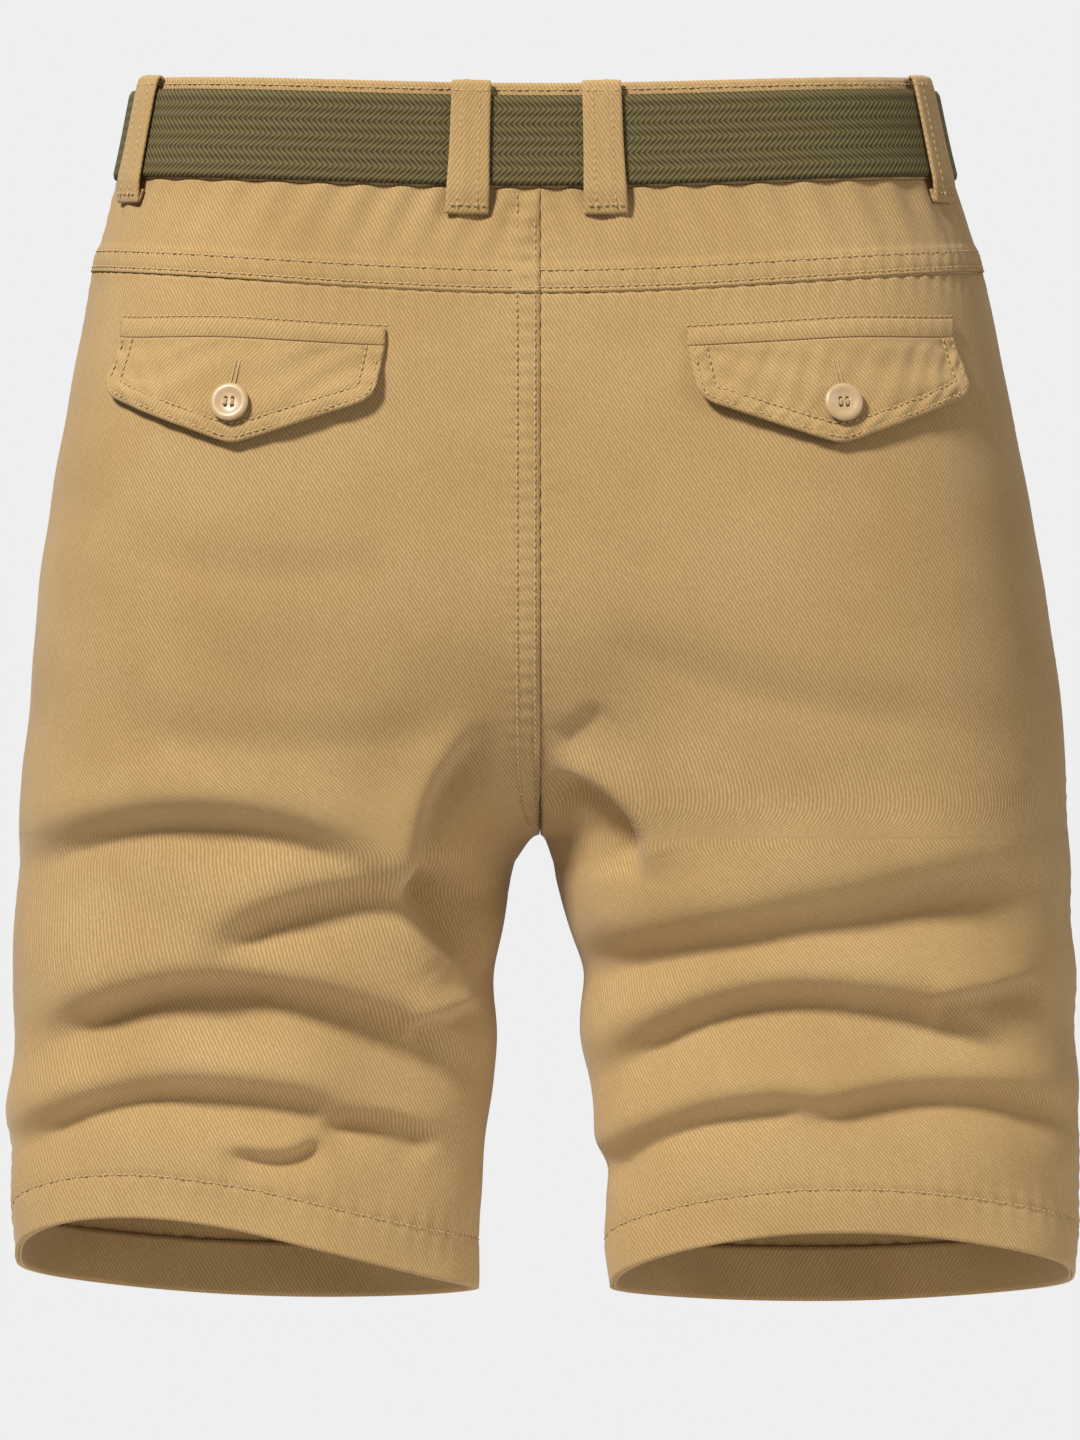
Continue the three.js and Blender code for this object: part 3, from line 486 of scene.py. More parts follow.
def linear(code: str, alpha: float = 1.0) -> tuple[float, float, float, float]:
    """Turn an sRGB hex value to linear colour."""
    parts = [int(code[k : k + 2], 16) / 255 for k in (1, 3, 5)]
    made = [c / 12.92 if c <= 0.04045 else ((c + 0.055) / 1.055) ** 2.4 for c in parts]
    return (made[0], made[1], made[2], alpha)


def add_node(tree: bpy.types.NodeTree, kind: str, links: dict | None = None, **settings) -> bpy.types.Node:
    """Add one node.

    Args:
        tree: the tree it goes into.
        kind: the node's type name.
        links: input name or number to a value, or to an output socket that feeds it.
        settings: the node's own properties.
    Returns:
        The node.
    """
    node = tree.nodes.new(kind)
    for key, value in settings.items():
        setattr(node, key, value)
    for key, value in (links or {}).items():
        if isinstance(value, bpy.types.NodeSocket):
            tree.links.new(value, node.inputs[key])
        else:
            node.inputs[key].default_value = value
    return node


class Finish:
    """A material with its shader joined up, and short ways to add the nodes that finishes are made of."""

    def __init__(self, name: str) -> None:
        """Make the empty material."""
        self.material = bpy.data.materials.new(name)
        self.material.use_nodes = True
        self.tree = self.material.node_tree
        self.tree.nodes.clear()
        self.shader = add_node(self.tree, "ShaderNodeBsdfPrincipled")
        add_node(self.tree, "ShaderNodeOutputMaterial", {"Surface": self.shader.outputs[0]})
        self.spaces = add_node(self.tree, "ShaderNodeTexCoord").outputs

    def math(self, operation: str, *values) -> bpy.types.NodeSocket:
        """One sum on values or outputs."""
        return add_node(self.tree, "ShaderNodeMath", dict(enumerate(values)), operation=operation).outputs[0]

    def noise(self, space: str, scale: float, detail: float, roughness: float = 0.5) -> bpy.types.NodeSocket:
        """Cloudy noise in a space of coordinates."""
        links = {"Vector": self.spaces[space], "Scale": scale, "Detail": detail, "Roughness": roughness}
        return add_node(self.tree, "ShaderNodeTexNoise", links).outputs["Fac"]

    def ranged(self, value, low: float, high: float, first: float = 0.0,
               last: float = 1.0) -> bpy.types.NodeSocket:
        """A value carried from one range to another."""
        links = {"Value": value, "From Min": low, "From Max": high, "To Min": first, "To Max": last}
        return add_node(self.tree, "ShaderNodeMapRange", links).outputs[0]

    def mix(self, share, first, second) -> bpy.types.NodeSocket:
        """A colour between two."""
        links = {0: share, 6: first, 7: second}
        return add_node(self.tree, "ShaderNodeMix", links, data_type="RGBA").outputs[2]

    def done(self, colour, roughness: float, height=None, strength: float = 0.0, distance: float = 0.0,
             **inputs: float) -> Material:
        """Join colour and relief to the shader and set its other inputs, named with _ for a space."""
        self.tree.links.new(colour, self.shader.inputs["Base Color"])
        if strength:
            relief = add_node(self.tree, "ShaderNodeBump",
                              {"Height": height, "Strength": strength, "Distance": distance})
            self.tree.links.new(relief.outputs[0], self.shader.inputs["Normal"])
        for key, value in {"Roughness": roughness, **inputs}.items():
            self.shader.inputs[key.replace("_", " ")].default_value = value
        return self.material


def make_twill(ground: str = "#B08E5C", pale: str = "#BE9E6C", rib_hollow_shade: str = "#8B6C40",
               rib_mm: float = 1.5) -> Material:
    """Cotton twill, 3/1 right hand, washed as a garment: fine diagonal ribs, a dry surface, colour clouded a
    little paler at random, and painted shade in the hollows between the ribs. Ribs are about 1 mm apart,
    drawn at 1.5 mm to show."""
    finish = Finish("garment washed cotton twill")
    # Ribs climb at 58 degrees, on the cloth's own coordinates, which are in metres.
    turned = add_node(finish.tree, "ShaderNodeMapping",
                      {"Vector": finish.spaces["UV"], "Rotation": (0, 0, math.radians(-32))})
    ribs = add_node(finish.tree, "ShaderNodeTexWave",
                    {"Vector": turned.outputs[0], "Scale": 2 * math.pi / (rib_mm * MM * 20),
                     "Distortion": 2.4, "Detail": 2.0, "Detail Scale": 2.2}, bands_direction="X")
    slub = finish.noise("UV", 420.0, 4.0, 0.7)
    mottle = finish.ranged(finish.noise("Object", 16.0, 5.0, 0.62), 0.3, 0.7)
    thread = finish.math("MULTIPLY", ribs.outputs["Fac"], slub)
    # Painted shade: where the ribs and slubs run low, the colour goes up to 0.62 of the way to the dark shade
    # colour.
    colour = finish.mix(finish.ranged(thread, 0.05, 0.5, 0.62, 0.0),
                        finish.mix(mottle, linear(ground), linear(pale)), linear(rib_hollow_shade))
    return finish.done(colour, 0.92, thread, 0.35, 0.0004,
                       Specular_IOR_Level=0.18, Sheen_Weight=0.12, Sheen_Roughness=0.6)


def make_webbing(ground: str = "#6E623E", weave_hollow_shade: str = "#332C18", rib_mm: float = 2.4,
                 stripe_mm: float = 6.4, row_mm: float = 4.2) -> Material:
    """Cotton belt webbing, woven in a broad herringbone: coarse ribs of olive thread, with painted shade in
    the hollows between them, and a dry, slightly hairy surface."""
    finish = Finish("olive cotton webbing")
    split = add_node(finish.tree, "ShaderNodeSeparateXYZ", {0: finish.spaces["UV"]}).outputs
    # The ribs slant one way in one stripe and the other way in the next.
    slant = finish.math("ADD", split["X"], finish.math("PINGPONG", split["Y"], stripe_mm * MM))
    wave = finish.math("SINE", finish.math("MULTIPLY", slant, 2 * math.pi / (rib_mm * MM)))
    row = finish.math("COSINE", finish.math("MULTIPLY", split["Y"], 2 * math.pi / (row_mm * MM)))
    band = finish.math("MULTIPLY_ADD", row, 0.22, 0.2)
    woven = finish.math("MULTIPLY_ADD", wave, finish.noise("UV", 700.0, 3.0, 0.7), band)
    height = finish.ranged(woven, -0.5, 0.8)
    # Painted shade: the low places of the weave take the dark shade colour, the high ribs the olive ground.
    colour = finish.mix(height, linear(weave_hollow_shade), linear(ground))
    return finish.done(colour, 0.9, height, 0.55, 0.0006, Specular_IOR_Level=0.2)


def make_plain(name: str, ground: str, cloud: str, roughness: float, scale: float,
               metallic: float = 0.0, bump: float = 0.0) -> Material:
    """A finish of one colour clouded a little by another: thread, horn-like polyester, nickel or brass."""
    finish = Finish(name)
    noise = finish.noise("Object", scale, 4.0)
    colour = finish.mix(noise, linear(ground), linear(cloud))
    return finish.done(colour, roughness, noise, bump, 0.0003, Metallic=metallic)


@dataclass
class Wardrobe:
    """Every finish, made once."""

    twill: Material
    webbing: Material
    thread: Material
    horn: Material
    nickel: Material
    brass: Material

    @classmethod
    def stocked(cls) -> "Wardrobe":
        """Make the finishes."""
        return cls(
            twill=make_twill(),
            webbing=make_webbing(),
            # Spun polyester topstitching thread: a little paler than the cloth, matt.
            thread=make_plain("spun polyester thread", "#C2A77B", "#A98C5E", 0.8, 900, bump=0.3),
            # Polyester cast to look like horn, tumbled to a soft gloss.
            horn=make_plain("cast polyester horn", "#C2A680", "#A4845A", 0.34, 120),
            # Zinc plated with nickel and brushed: dull bright metal.
            nickel=make_plain("brushed nickel plate", "#A19C90", "#7F7A6E", 0.38, 260, metallic=1.0),
            # Brass zip teeth, tumbled dull.
            brass=make_plain("tumbled brass", "#9A7B42", "#75592C", 0.45, 500, metallic=1.0),
        )


def dress(made: Object, material: Material, slot: str, *nodes: str) -> Object:
    """Give a piece its finish and its body, and hide the CAD nodes that it stands for."""
    if not made.data.materials:
        made.data.materials.append(material)
    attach(made, "root")
    if nodes:
        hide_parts(*nodes)
    log.info("piece %s: %d faces", made.name, len(made.data.polygons))
    return made


def lay(made: Object) -> Object:
    """Hand back a piece as it is."""
    return made


# ------------------------------------------------------------------------------------------------ stitches


@dataclass(frozen=True)
class Stitch:
    """A kind of stitch: how far apart, how long and how thick."""

    pitch: float
    length: float
    radius: float


TOPSTITCH, BUTTONHOLE_STITCH = Stitch(3.1, 2.5, 0.36), Stitch(0.7, 1.5, 0.4)


@dataclass
class Stitcher:
    """Sews rows of stitches along paths with one Geometry Nodes tree."""

    material: Material

    def __post_init__(self) -> None:
        """Build the tree: resample each path, lay a stitch on each point, and make it all real."""
        tree = bpy.data.node_groups.new("Topstitch", "GeometryNodeTree")
        face = tree.interface
        face.new_socket("Path", in_out="INPUT", socket_type="NodeSocketGeometry")
        self.sockets = {
            name: face.new_socket(name, in_out="INPUT", socket_type=kind).identifier
            for name, kind in (("Pitch", "NodeSocketFloat"), ("Length", "NodeSocketFloat"),
                               ("Radius", "NodeSocketFloat"), ("Thread", "NodeSocketMaterial"))
        }
        face.new_socket("Stitches", in_out="OUTPUT", socket_type="NodeSocketGeometry")
        given = add_node(tree, "NodeGroupInput")
        curve = add_node(tree, "GeometryNodeMeshToCurve", {"Mesh": given.outputs["Path"]})
        even = add_node(tree, "GeometryNodeResampleCurve",
                        {"Curve": curve.outputs[0], "Length": given.outputs["Pitch"]}, mode="LENGTH")
        tangent = add_node(tree, "GeometryNodeInputTangent")
        turn = add_node(tree, "FunctionNodeAlignRotationToVector", {"Vector": tangent.outputs[0]}, axis="X")
        ball = add_node(tree, "GeometryNodeMeshUVSphere", {"Segments": 6, "Rings": 4, "Radius": 1.0})
        half = add_node(tree, "ShaderNodeMath", {0: given.outputs["Length"], 1: 0.5}, operation="MULTIPLY")
        size = add_node(tree, "ShaderNodeCombineXYZ",
                        {"X": half.outputs[0], "Y": given.outputs["Radius"], "Z": given.outputs["Radius"]})
        laid = add_node(tree, "GeometryNodeInstanceOnPoints",
                        {"Points": even.outputs[0], "Instance": ball.outputs["Mesh"],
                         "Rotation": turn.outputs[0], "Scale": size.outputs[0]})
        real = add_node(tree, "GeometryNodeRealizeInstances", {0: laid.outputs[0]})
        finished = add_node(tree, "GeometryNodeSetMaterial",
                            {"Geometry": real.outputs[0], "Material": given.outputs["Thread"]})
        add_node(tree, "NodeGroupOutput", {0: finished.outputs[0]})
        self.tree = tree

    def sew(self, name: str, paths: Sequence[Grid], stitch: Stitch = TOPSTITCH) -> Object:
        """Sew stitches along paths.

        Args:
            name: the piece's name.
            paths: each a list of points in millimetres.
            stitch: the kind of stitch.
        Returns:
            The stitches as a plain mesh.
        """
        edges, start = [], 0
        for path in paths:
            edges += [(start + k, start + k + 1) for k in range(len(path) - 1)]
            start += len(path)
        mesh = bpy.data.meshes.new(name + " paths")
        mesh.from_pydata((np.vstack(paths) * MM).tolist(), edges, [])
        carrier = link_object(name + " paths", mesh)
        modifier = carrier.modifiers.new("Topstitch", "NODES")
        modifier.node_group = self.tree
        for key, value in (("Pitch", stitch.pitch), ("Length", stitch.length), ("Radius", stitch.radius)):
            modifier[self.sockets[key]] = value * MM
        modifier[self.sockets["Thread"]] = self.material
        sewn = bpy.data.meshes.new_from_object(carrier.evaluated_get(bpy.context.evaluated_depsgraph_get()))
        bpy.data.objects.remove(carrier)
        sewn.name = name
        return dress(link_object(name, sewn), self.material, "twill")


# ------------------------------------------------------------------------------------------------- panels


@dataclass
class Body:
    """Fronts, backs and yokes, with their hems."""

    form: Form
    wardrobe: Wardrobe
    stitcher: Stitcher
    cloth: float = 1.3
    hem_depth: float = 21.0
    lap: float = 11.0

    def relief(self, side: Side, face: Face, along: Grid, z: Grid, length: Grid, top: float) -> Grid:
        """What seams do to a panel: laps stand up, rows of stitches draw in, and seams pucker."""
        above_hem = z - HEM
        made = np.zeros(np.broadcast(along, z).shape) + pucker(z, length - along, 8.0, 7.0, 0.35)
        made += pucker(along, above_hem - self.hem_depth, 9.0, 9.0, 0.4) * smooth(-4, 6, above_hem)
        made += groove(above_hem - self.hem_depth, 0.5, 1.6)
        seam = smooth(CROTCH - 4, CROTCH + 6, z)
        if face is BACK and side is Side.LEFT:
            made += seam * (0.5 * smooth(self.lap + 1.6, self.lap - 0.4, along))
            made += seam * pucker(z, along - 6, 7.0, 7.0, 0.32)
            for row in CENTRE_ROWS:
                made += seam * groove(along - row, 0.4, 1.0)
        elif face is BACK:
            made += seam * pucker(z, along, 7.5, 7.0, 0.15)
        if face is BACK and top < WAIST_SEAM - 5:
            made += pucker(along, z - top, 8.0, 9.0, 0.4)
        return made

    def panel(self, side: Side, face: Face, node: str, top: float, foot: float, rows: int, columns: int,
              edge: Callable[[Grid], Grid] | None = None,
              extra: Callable[[Grid, Grid], Grid] | None = None) -> Object:
        """One panel, from seam to seam.

        Args:
            side: the wearer's side.
            face: back or front.
            node: the node that it stands for.
            top: height of its upper edge.
            foot: height of its lower edge.
            rows: number of rows.
            columns: number of points in a row.
            edge: how far its outer edge stays from the side seam at a height, in millimetres.
            extra: relief of its own, from millimetres along the row and height.
        Returns:
            The dressed panel.
        """
        z = np.linspace(top - SEAM_GAP, foot, rows)
        if top > CROTCH > foot:
            z = np.sort(np.append(z, [CROTCH + d for d in (6, 4, 2.5, 1, 0, -1, -2.5, -4, -7)]))[::-1]
        z = z[:, None]
        length = self.form.length(side, face, z)
        widths = length - (edge(z) if edge else 0)
        along = widths * row_of(columns)
        lift = self.relief(side, face, along, z, length, top)
        if extra:
            lift = lift + extra(along, z)
        z_grid = np.broadcast_to(z, along.shape)
        outer, inner = (self.form.cloth_at(side, face, along / length, z_grid, lift - depth)
                        for depth in (0, self.cloth))
        made = wall(node + "_cloth", outer, inner, np.dstack([along * side.value, z_grid]))
        dress(made, self.wardrobe.twill, "twill", node)
        return lay(made)

    def hem(self, side: Side) -> Object:
        """The turned-up hem inside a leg, one ring of cloth."""
        shares = np.linspace(0, 1, 90)
        z = column_of(12, HEM + self.hem_depth + 2, HEM)
        rings = []
        for depth in (-1.6, -2.7):
            parts = []
            for face, run in ((BACK, shares), (FRONT, shares[-2:0:-1])):
                # The ripples run on along the row, which is about 260 mm long.
                ripple = pucker(run[None, :] * 260, z - HEM - self.hem_depth, 9.0, 9.0, 0.4)
                parts.append(self.form.cloth_at(side, face, run[None, :], z, depth + ripple))
            rings.append(np.hstack(parts))
        outer, inner = rings
        around = np.linalg.norm(np.diff(outer[-1], axis=0), axis=1).sum()
        uv = np.dstack(np.meshgrid(np.linspace(0, around, outer.shape[1]), z[:, 0]))
        made = wall(f"hem_{side.word}_turning", outer, inner, uv, wraps=True)
        dress(made, self.wardrobe.twill, "twill", f"hem_{side.word}")
        return lay(made)

    @staticmethod
    def yoke_relief(along: Grid, z: Grid) -> Grid:
        """The yoke laps over the back: its foot stands up, between rows of stitches."""
        made = 0.9 * smooth(YOKE_SEAM + 13, YOKE_SEAM + 9, z)
        made = made + pucker(along, z - YOKE_SEAM - 6, 8.0, 8.0, 0.4)
        made = made + pucker(along + z * 0.5, z - WAIST_SEAM + 6, 17.0, 16.0, 0.8)
        return made + sum(groove(z - YOKE_SEAM - row, 0.4, 1.0) for row in YOKE_ROWS)

    def build(self) -> None:
        """Make all panels, hems and their seams."""
        for side in Side:
            word = side.word
            self.panel(side, BACK, f"back_{word}", YOKE_SEAM, HEM, 250, 112)
            self.panel(side, FRONT, f"front_{word}", WAIST_SEAM, HEM, 250, 100, edge=slant_inset)
            self.panel(side, BACK, f"yoke_{word}", WAIST_SEAM, YOKE_SEAM + SEAM_GAP, 44, 112,
                       extra=self.yoke_relief)
            self.hem(side)
            run = np.linspace(1, float(self.form.length(side, BACK, YOKE_SEAM)) - 1, 160)
            paths = [self.form.tailor(side, BACK, run, YOKE_SEAM + row, 0.95) for row in YOKE_ROWS]
            for face in Face:
                run = np.linspace(0.5, float(self.form.length(side, face, HEM)) - 0.5, 160)
                paths.append(self.form.tailor(side, face, run, HEM + self.hem_depth, 0.05))
            self.stitcher.sew(f"stitches_{word}", paths)
        down = np.linspace(YOKE_SEAM - 1, CROTCH + 4, 150)
        up = np.linspace(WAIST_SEAM - 3, YOKE_SEAM + 1, 30)
        rows = [self.form.tailor(Side.LEFT, BACK, row, z, lift)
                for z, lift in ((down, 0.75), (up, 0.3)) for row in CENTRE_ROWS]
        # The fly's row: straight down beside the opening, then round to its foot.
        bend = np.linspace(0, math.pi / 2, 24)
        fly_along = np.concatenate([np.full(60, FLY_WIDTH), FLY_WIDTH * np.cos(bend)])
        straight = np.linspace(WAIST_SEAM - 3, FLY_BEND, 60)
        fly_z = np.concatenate([straight, FLY_BEND - FLY_WIDTH * np.sin(bend)])
        foot_z = np.linspace(FLY_BEND - FLY_WIDTH - 4, CROTCH + 6, 100)
        for along, z in ((fly_along, fly_z), (CENTRE_ROWS[0], foot_z)):
            rows.append(self.form.tailor(Side.LEFT, FRONT, along, z, 0.1))
        self.stitcher.sew("stitches_centre", rows)


def slant_inset(z: Grid) -> Grid:
    """How far the front's edge stays from the side seam, along the slanted pocket."""
    return SLANT_WIDTH * np.clip((z - SLANT_FOOT) / (WAIST_SEAM - SLANT_FOOT), 0, 1)


@dataclass
class FrontPockets:
    """Slanted front pockets: a facing behind the front's edge, two rows of stitches along it."""

    form: Form
    wardrobe: Wardrobe
    stitcher: Stitcher
    cloth: float = 1.1

    def build(self) -> None:
        """Make both."""
        for side in Side:
            node = f"side_pocket_facing_{side.word}"
            z = column_of(60, WAIST_SEAM - SEAM_GAP, FACING_FOOT)
            length, inset = self.form.length(side, FRONT, z), slant_inset(z)
            from_edge = -FACING_LAP + (inset + FACING_LAP - SEAM_GAP) * row_of(26)
            # It lies behind the front, and comes up to the side seam's level.
            depth = 2.3 * (1 - smooth(0.6, 1.0, np.clip(from_edge / inset, 0, 1)))
            along = length - inset + from_edge
            outer, inner = (self.form.cloth_at(side, FRONT, along / length, z, -depth - layer)
                            for layer in (0, self.cloth))
            made = wall(node + "_cloth", outer, inner, np.dstack([along, np.broadcast_to(z, along.shape)]))
            dress(made, self.wardrobe.twill, "twill", node)
            lay(made)
            run = np.linspace(WAIST_SEAM - 2, SLANT_FOOT + 4, 80)
            edge = self.form.length(side, FRONT, run) - slant_inset(run)
            paths = [self.form.tailor(side, FRONT, edge - row, run, 0.1) for row in SLANT_ROWS]
            self.stitcher.sew(f"stitches_front_pocket_{side.word}", paths)


# ------------------------------------------------------------------------------------------------ the waist


@dataclass(frozen=True)
class Station:
    """A place on the way round the waist: side, face, millimetres from the centre, and stand-off."""

    side: Side
    face: Face
    along: float
    off: float


@dataclass
class Waist:
    """Waistband, belt, buckle and loops. The buckle, the tip and the fly's parts are CAD nodes that stay."""

    form: Form
    wardrobe: Wardrobe
    stitcher: Stitcher
    nodes: dict[str, Object]
    band_wall: float = 2.4
    belt_height: float = 38.0
    belt_wall: float = 2.3
    under: float = 0.6
    bulge_height: float = 3.8
    bulge_reach: float = 30.0
    belt_layer: float = 2.8
    tail: float = 120.0
    band_lap: float = 32.0
    loop_half_width: float = 8.7
    loop_flat_width: float = 16.5
    loop_foot: float = -31.5
    # The samples of a loop's middle line that face out, below its top fold and above its turned foot.
    loop_seen: tuple[int, int] = (6, 48)

    @property
    def over(self) -> float:
        """The stand-off of the belt's second layer."""
        return self.under + self.belt_layer

    def bulge(self, along: float) -> float:
        """How far the waist button pushes the belt out."""
        return self.bulge_height * math.exp(-((along / self.bulge_reach) ** 2))

    def course(self, start: float, first: Callable[[float], float], crossing: Callable[[float], float],
               last: Callable[[float], float], lap: float) -> list[Station]:
        """Stations from the left of the centre front, round the back, to the right front and over the left.

        Args:
            start: where it begins, left of the centre front.
            first: stand-off over its first layer, by millimetres from the centre front.
            crossing: stand-off on the right front.
            last: stand-off of its last stretch.
            lap: how far it runs past the centre front.
        Returns:
            The stations in order.
        """
        reach = {(side, face): float(self.form.length(side, face, 0)) for side in Side for face in Face}

        def plain(along: float) -> float:
            """The stand-off behind, far from what lies under the front."""
            return first(math.inf)

        runs = (
            (Side.LEFT, FRONT, np.linspace(start, reach[Side.LEFT, FRONT], 96), first),
            (Side.LEFT, BACK, np.linspace(reach[Side.LEFT, BACK], 0, 96)[1:], plain),
            (Side.RIGHT, BACK, np.linspace(0, reach[Side.RIGHT, BACK], 96)[1:], plain),
            (Side.RIGHT, FRONT, np.linspace(reach[Side.RIGHT, FRONT], 0, 96)[1:], crossing),
            (Side.LEFT, FRONT, np.linspace(0, lap, 50)[1:], last),
        )
        return [Station(side, face, float(along), off(along))
                for side, face, run, off in runs for along in run]

    def place(self, stations: Sequence[Station], heights: Grid, offset: Grid) -> Grid:
        """Points at every height of every station, moved out by its stand-off and offset."""
        made = np.empty((len(heights), len(stations), 3))
        for side in Side:
            for face in Face:
                picked = [k for k, s in enumerate(stations) if s.side is side and s.face is face]
                if not picked:
                    continue
                t = np.array([stations[k].along for k in picked]) / float(self.form.length(side, face, 0))
                off = np.array([stations[k].off for k in picked])
                z = np.broadcast_to(heights[:, None], (len(heights), len(picked)))
                points, normals = self.form.smooth_at(side, face, np.broadcast_to(t, z.shape), z)
                made[:, picked] = points + normals * (off + offset[:, picked])[..., None]
        return made

    def strip(self, name: str, node: str, stations: list[Station], heights: Grid, thickness: float,
              relief: Grid, material: Material, slot: str) -> Object:
        """A strip round the waist."""
        outer = self.place(stations, heights, relief + thickness)
        inner = self.place(stations, heights, relief * 0.3)
        steps = np.linalg.norm(np.diff(outer[len(heights) // 2], axis=0), axis=1)
        run = np.concatenate([[0], np.cumsum(steps)])
        made = wall(name, outer, inner, np.dstack(np.meshgrid(run, heights)))
        dress(made, material, slot, node)
        return lay(made)

    def build_band(self) -> None:
        """The waistband, its right end lapping behind its left end, with rows of stitches top and bottom."""
        drop = self.band_wall + 0.3
        stations = self.course(0.0, lambda a: 0.0, lambda a: -drop * float(smooth(44, 14, a)),
                               lambda a: -drop, self.band_lap)
        stations = [Station(s.side, s.face, s.along, s.off - self.band_wall) for s in stations]
        heights = np.linspace(WAIST_TOP, WAIST_SEAM + SEAM_GAP, 26)
        from_top = (WAIST_TOP - heights)[:, None]
        # Stations are about 2.3 mm apart, which carries the puckers round.
        relief = pucker(np.arange(len(stations))[None, :] * 2.3, from_top - 3, 11.0, 6.0, 0.28)
        relief = relief + groove(from_top, 0.5, 1.2) + groove(from_top - 3, 0.3, 1.0)
        self.strip("waistband_cloth", "waistband", stations, heights, self.band_wall, relief,
                   self.wardrobe.twill, "twill")
        whole = [s for s in stations if s.off > -self.band_wall - 0.01]
        lift = np.full((1, len(whole)), self.band_wall + 0.12)
        rows = [self.place(whole, np.array([z]), lift)[0] for z in (WAIST_TOP - 3, WAIST_SEAM + 2)]
        self.stitcher.sew("stitches_waistband", rows)

    def build_belt(self) -> None:
        """The webbing belt: its fixed end under, its free end over, its edges rounded."""
        stations = self.course(
            6.0,
            lambda a: self.under + self.bulge(a),
            lambda a: self.under + self.belt_layer * float(smooth(44, 14, a)) + self.bulge(a),
            lambda a: self.over + self.bulge(a),
            self.tail,
        )
        half = self.belt_height / 2
        heights = np.linspace(half, -half, 22)
        relief = -0.7 * smooth(0.9, 1.0, np.abs(heights[:, None]) / half) + np.zeros((1, len(stations)))
        self.strip("belt_webbing", "belt", stations, heights, self.belt_wall, relief,
                   self.wardrobe.webbing, "webbing")

    def loop_spine(self, layers: int) -> tuple[Grid, Grid, Grid]:
        """A belt loop's middle line: way along the strip, height and stand-off.

        It goes over the top edge, down over the belt, in to the tack, and ends turned under.
        """
        top, foot = WAIST_TOP, self.loop_foot
        out = self.under + layers * self.belt_layer + 0.4
        spine = np.array([
            (top - 1.5, 1.0), (top + 0.2, 1.5), (top + 0.9, out - 0.6), (top - 1.0, out + 0.5),
            (top - 6, out + 0.85), (6, out + 1.0), (-10, out + 1.0), (-21, out + 0.8),
            (foot + 6.5, out - 0.2), (foot + 3.5, out - 1.3), (foot + 1.2, out - 1.6),
            (foot + 0.5, out - 2.3), (foot + 1.6, 1.1), (foot + 7, 0.9)])
        gaps = np.concatenate([[0], np.cumsum(np.hypot(*np.diff(spine, axis=0).T))])
        run = np.linspace(0, gaps[-1], 60)
        line = np.stack([np.interp(run, gaps, spine[:, k]) for k in (0, 1)])
        for _ in range(3):
            line[:, 1:-1] = (line[:, :-2] + 2 * line[:, 1:-1] + line[:, 2:]) / 4
        return run, line[0], line[1]

    def build_loop(self, node: str, side: Side, face: Face, along: float, layers: int, flare: float) -> None:
        """A belt loop: a folded strip, turned under at its foot and tacked, with a ridge down its middle.

        Args:
            node: the node that it stands for.
            side: the wearer's side.
            face: back or front.
            along: its middle, in millimetres from the centre seam.
            layers: how many layers of the belt pass under it.
            flare: how much wider its foot is.
        """
        run, z_mid, off_mid = self.loop_spine(layers)
        slope = np.gradient(np.stack([z_mid, off_mid], axis=1), axis=0)
        slope /= np.linalg.norm(slope, axis=1, keepdims=True)
        spread = np.linspace(-1, 1, 15)
        half = self.loop_half_width + flare * smooth(0.45, 0.8, run / run[-1])
        length = float(self.form.length(side, face, 0))

        def placed(shift: Grid, z: Grid, off: Grid) -> Grid:
            """Points beside the loop's middle at heights and stand-offs."""
            points, normals = self.form.smooth_at(side, face, (along + shift) / length, z)
            return points + normals * np.asarray(off)[..., None]

        walls = []
        for bow in (0.75 * (1 - 0.35 * spread**6) - groove(spread - 0.25, 0.35, 0.14), np.full(15, -0.7)):
            z = z_mid[:, None] + slope[:, 1:2] * bow
            walls.append(placed(half[:, None] * spread, z, off_mid[:, None] - slope[:, :1] * bow))
        made = wall(node + "_strip", walls[0], walls[1], np.dstack(np.meshgrid(spread * 8.5, -run)))
        dress(made, self.wardrobe.twill, "twill", node)
        lay(made)

        top, foot = WAIST_TOP - 4, self.loop_foot + 4
        seen = slice(*self.loop_seen)
        z = np.linspace(top, foot, 40)
        rows = [placed(shift, z, np.interp(-z, -z_mid[seen], off_mid[seen]) + 0.75) for shift in (4.16, -4.0)]
        for z in (top, foot + 0.2):
            off = np.full(12, float(np.interp(-z, -z_mid[seen], off_mid[seen])) + 0.8)
            rows.append(placed(np.linspace(-6.5, 6.5, 12), z, off))
        self.stitcher.sew("stitches_" + node, rows)

    def build(self) -> None:
        """Make everything round the waist."""
        self.build_band()
        self.build_belt()
        for side, back, hip, layers in ((Side.LEFT, 30.5, 187, 2), (Side.RIGHT, 27.5, 184, 1)):
            word = side.word
            self.build_loop(f"belt_loop_back_{word}", side, BACK, back, 1, 0.4)
            self.build_loop(f"belt_loop_side_{word}", side, BACK, hip, 1, 0.8)
            self.build_loop(f"belt_loop_front_{word}", side, FRONT, 88, layers, 0.4)
        looks = self.wardrobe
        for node, material in (("belt_buckle", looks.nickel), ("belt_tip", looks.nickel),
                               ("fly_zip", looks.brass), ("fly_shield", looks.twill)):
            kept = self.nodes[node].data.materials
            kept.clear()
            kept.append(material)


# --------------------------------------------------------------------------------------------- back pockets


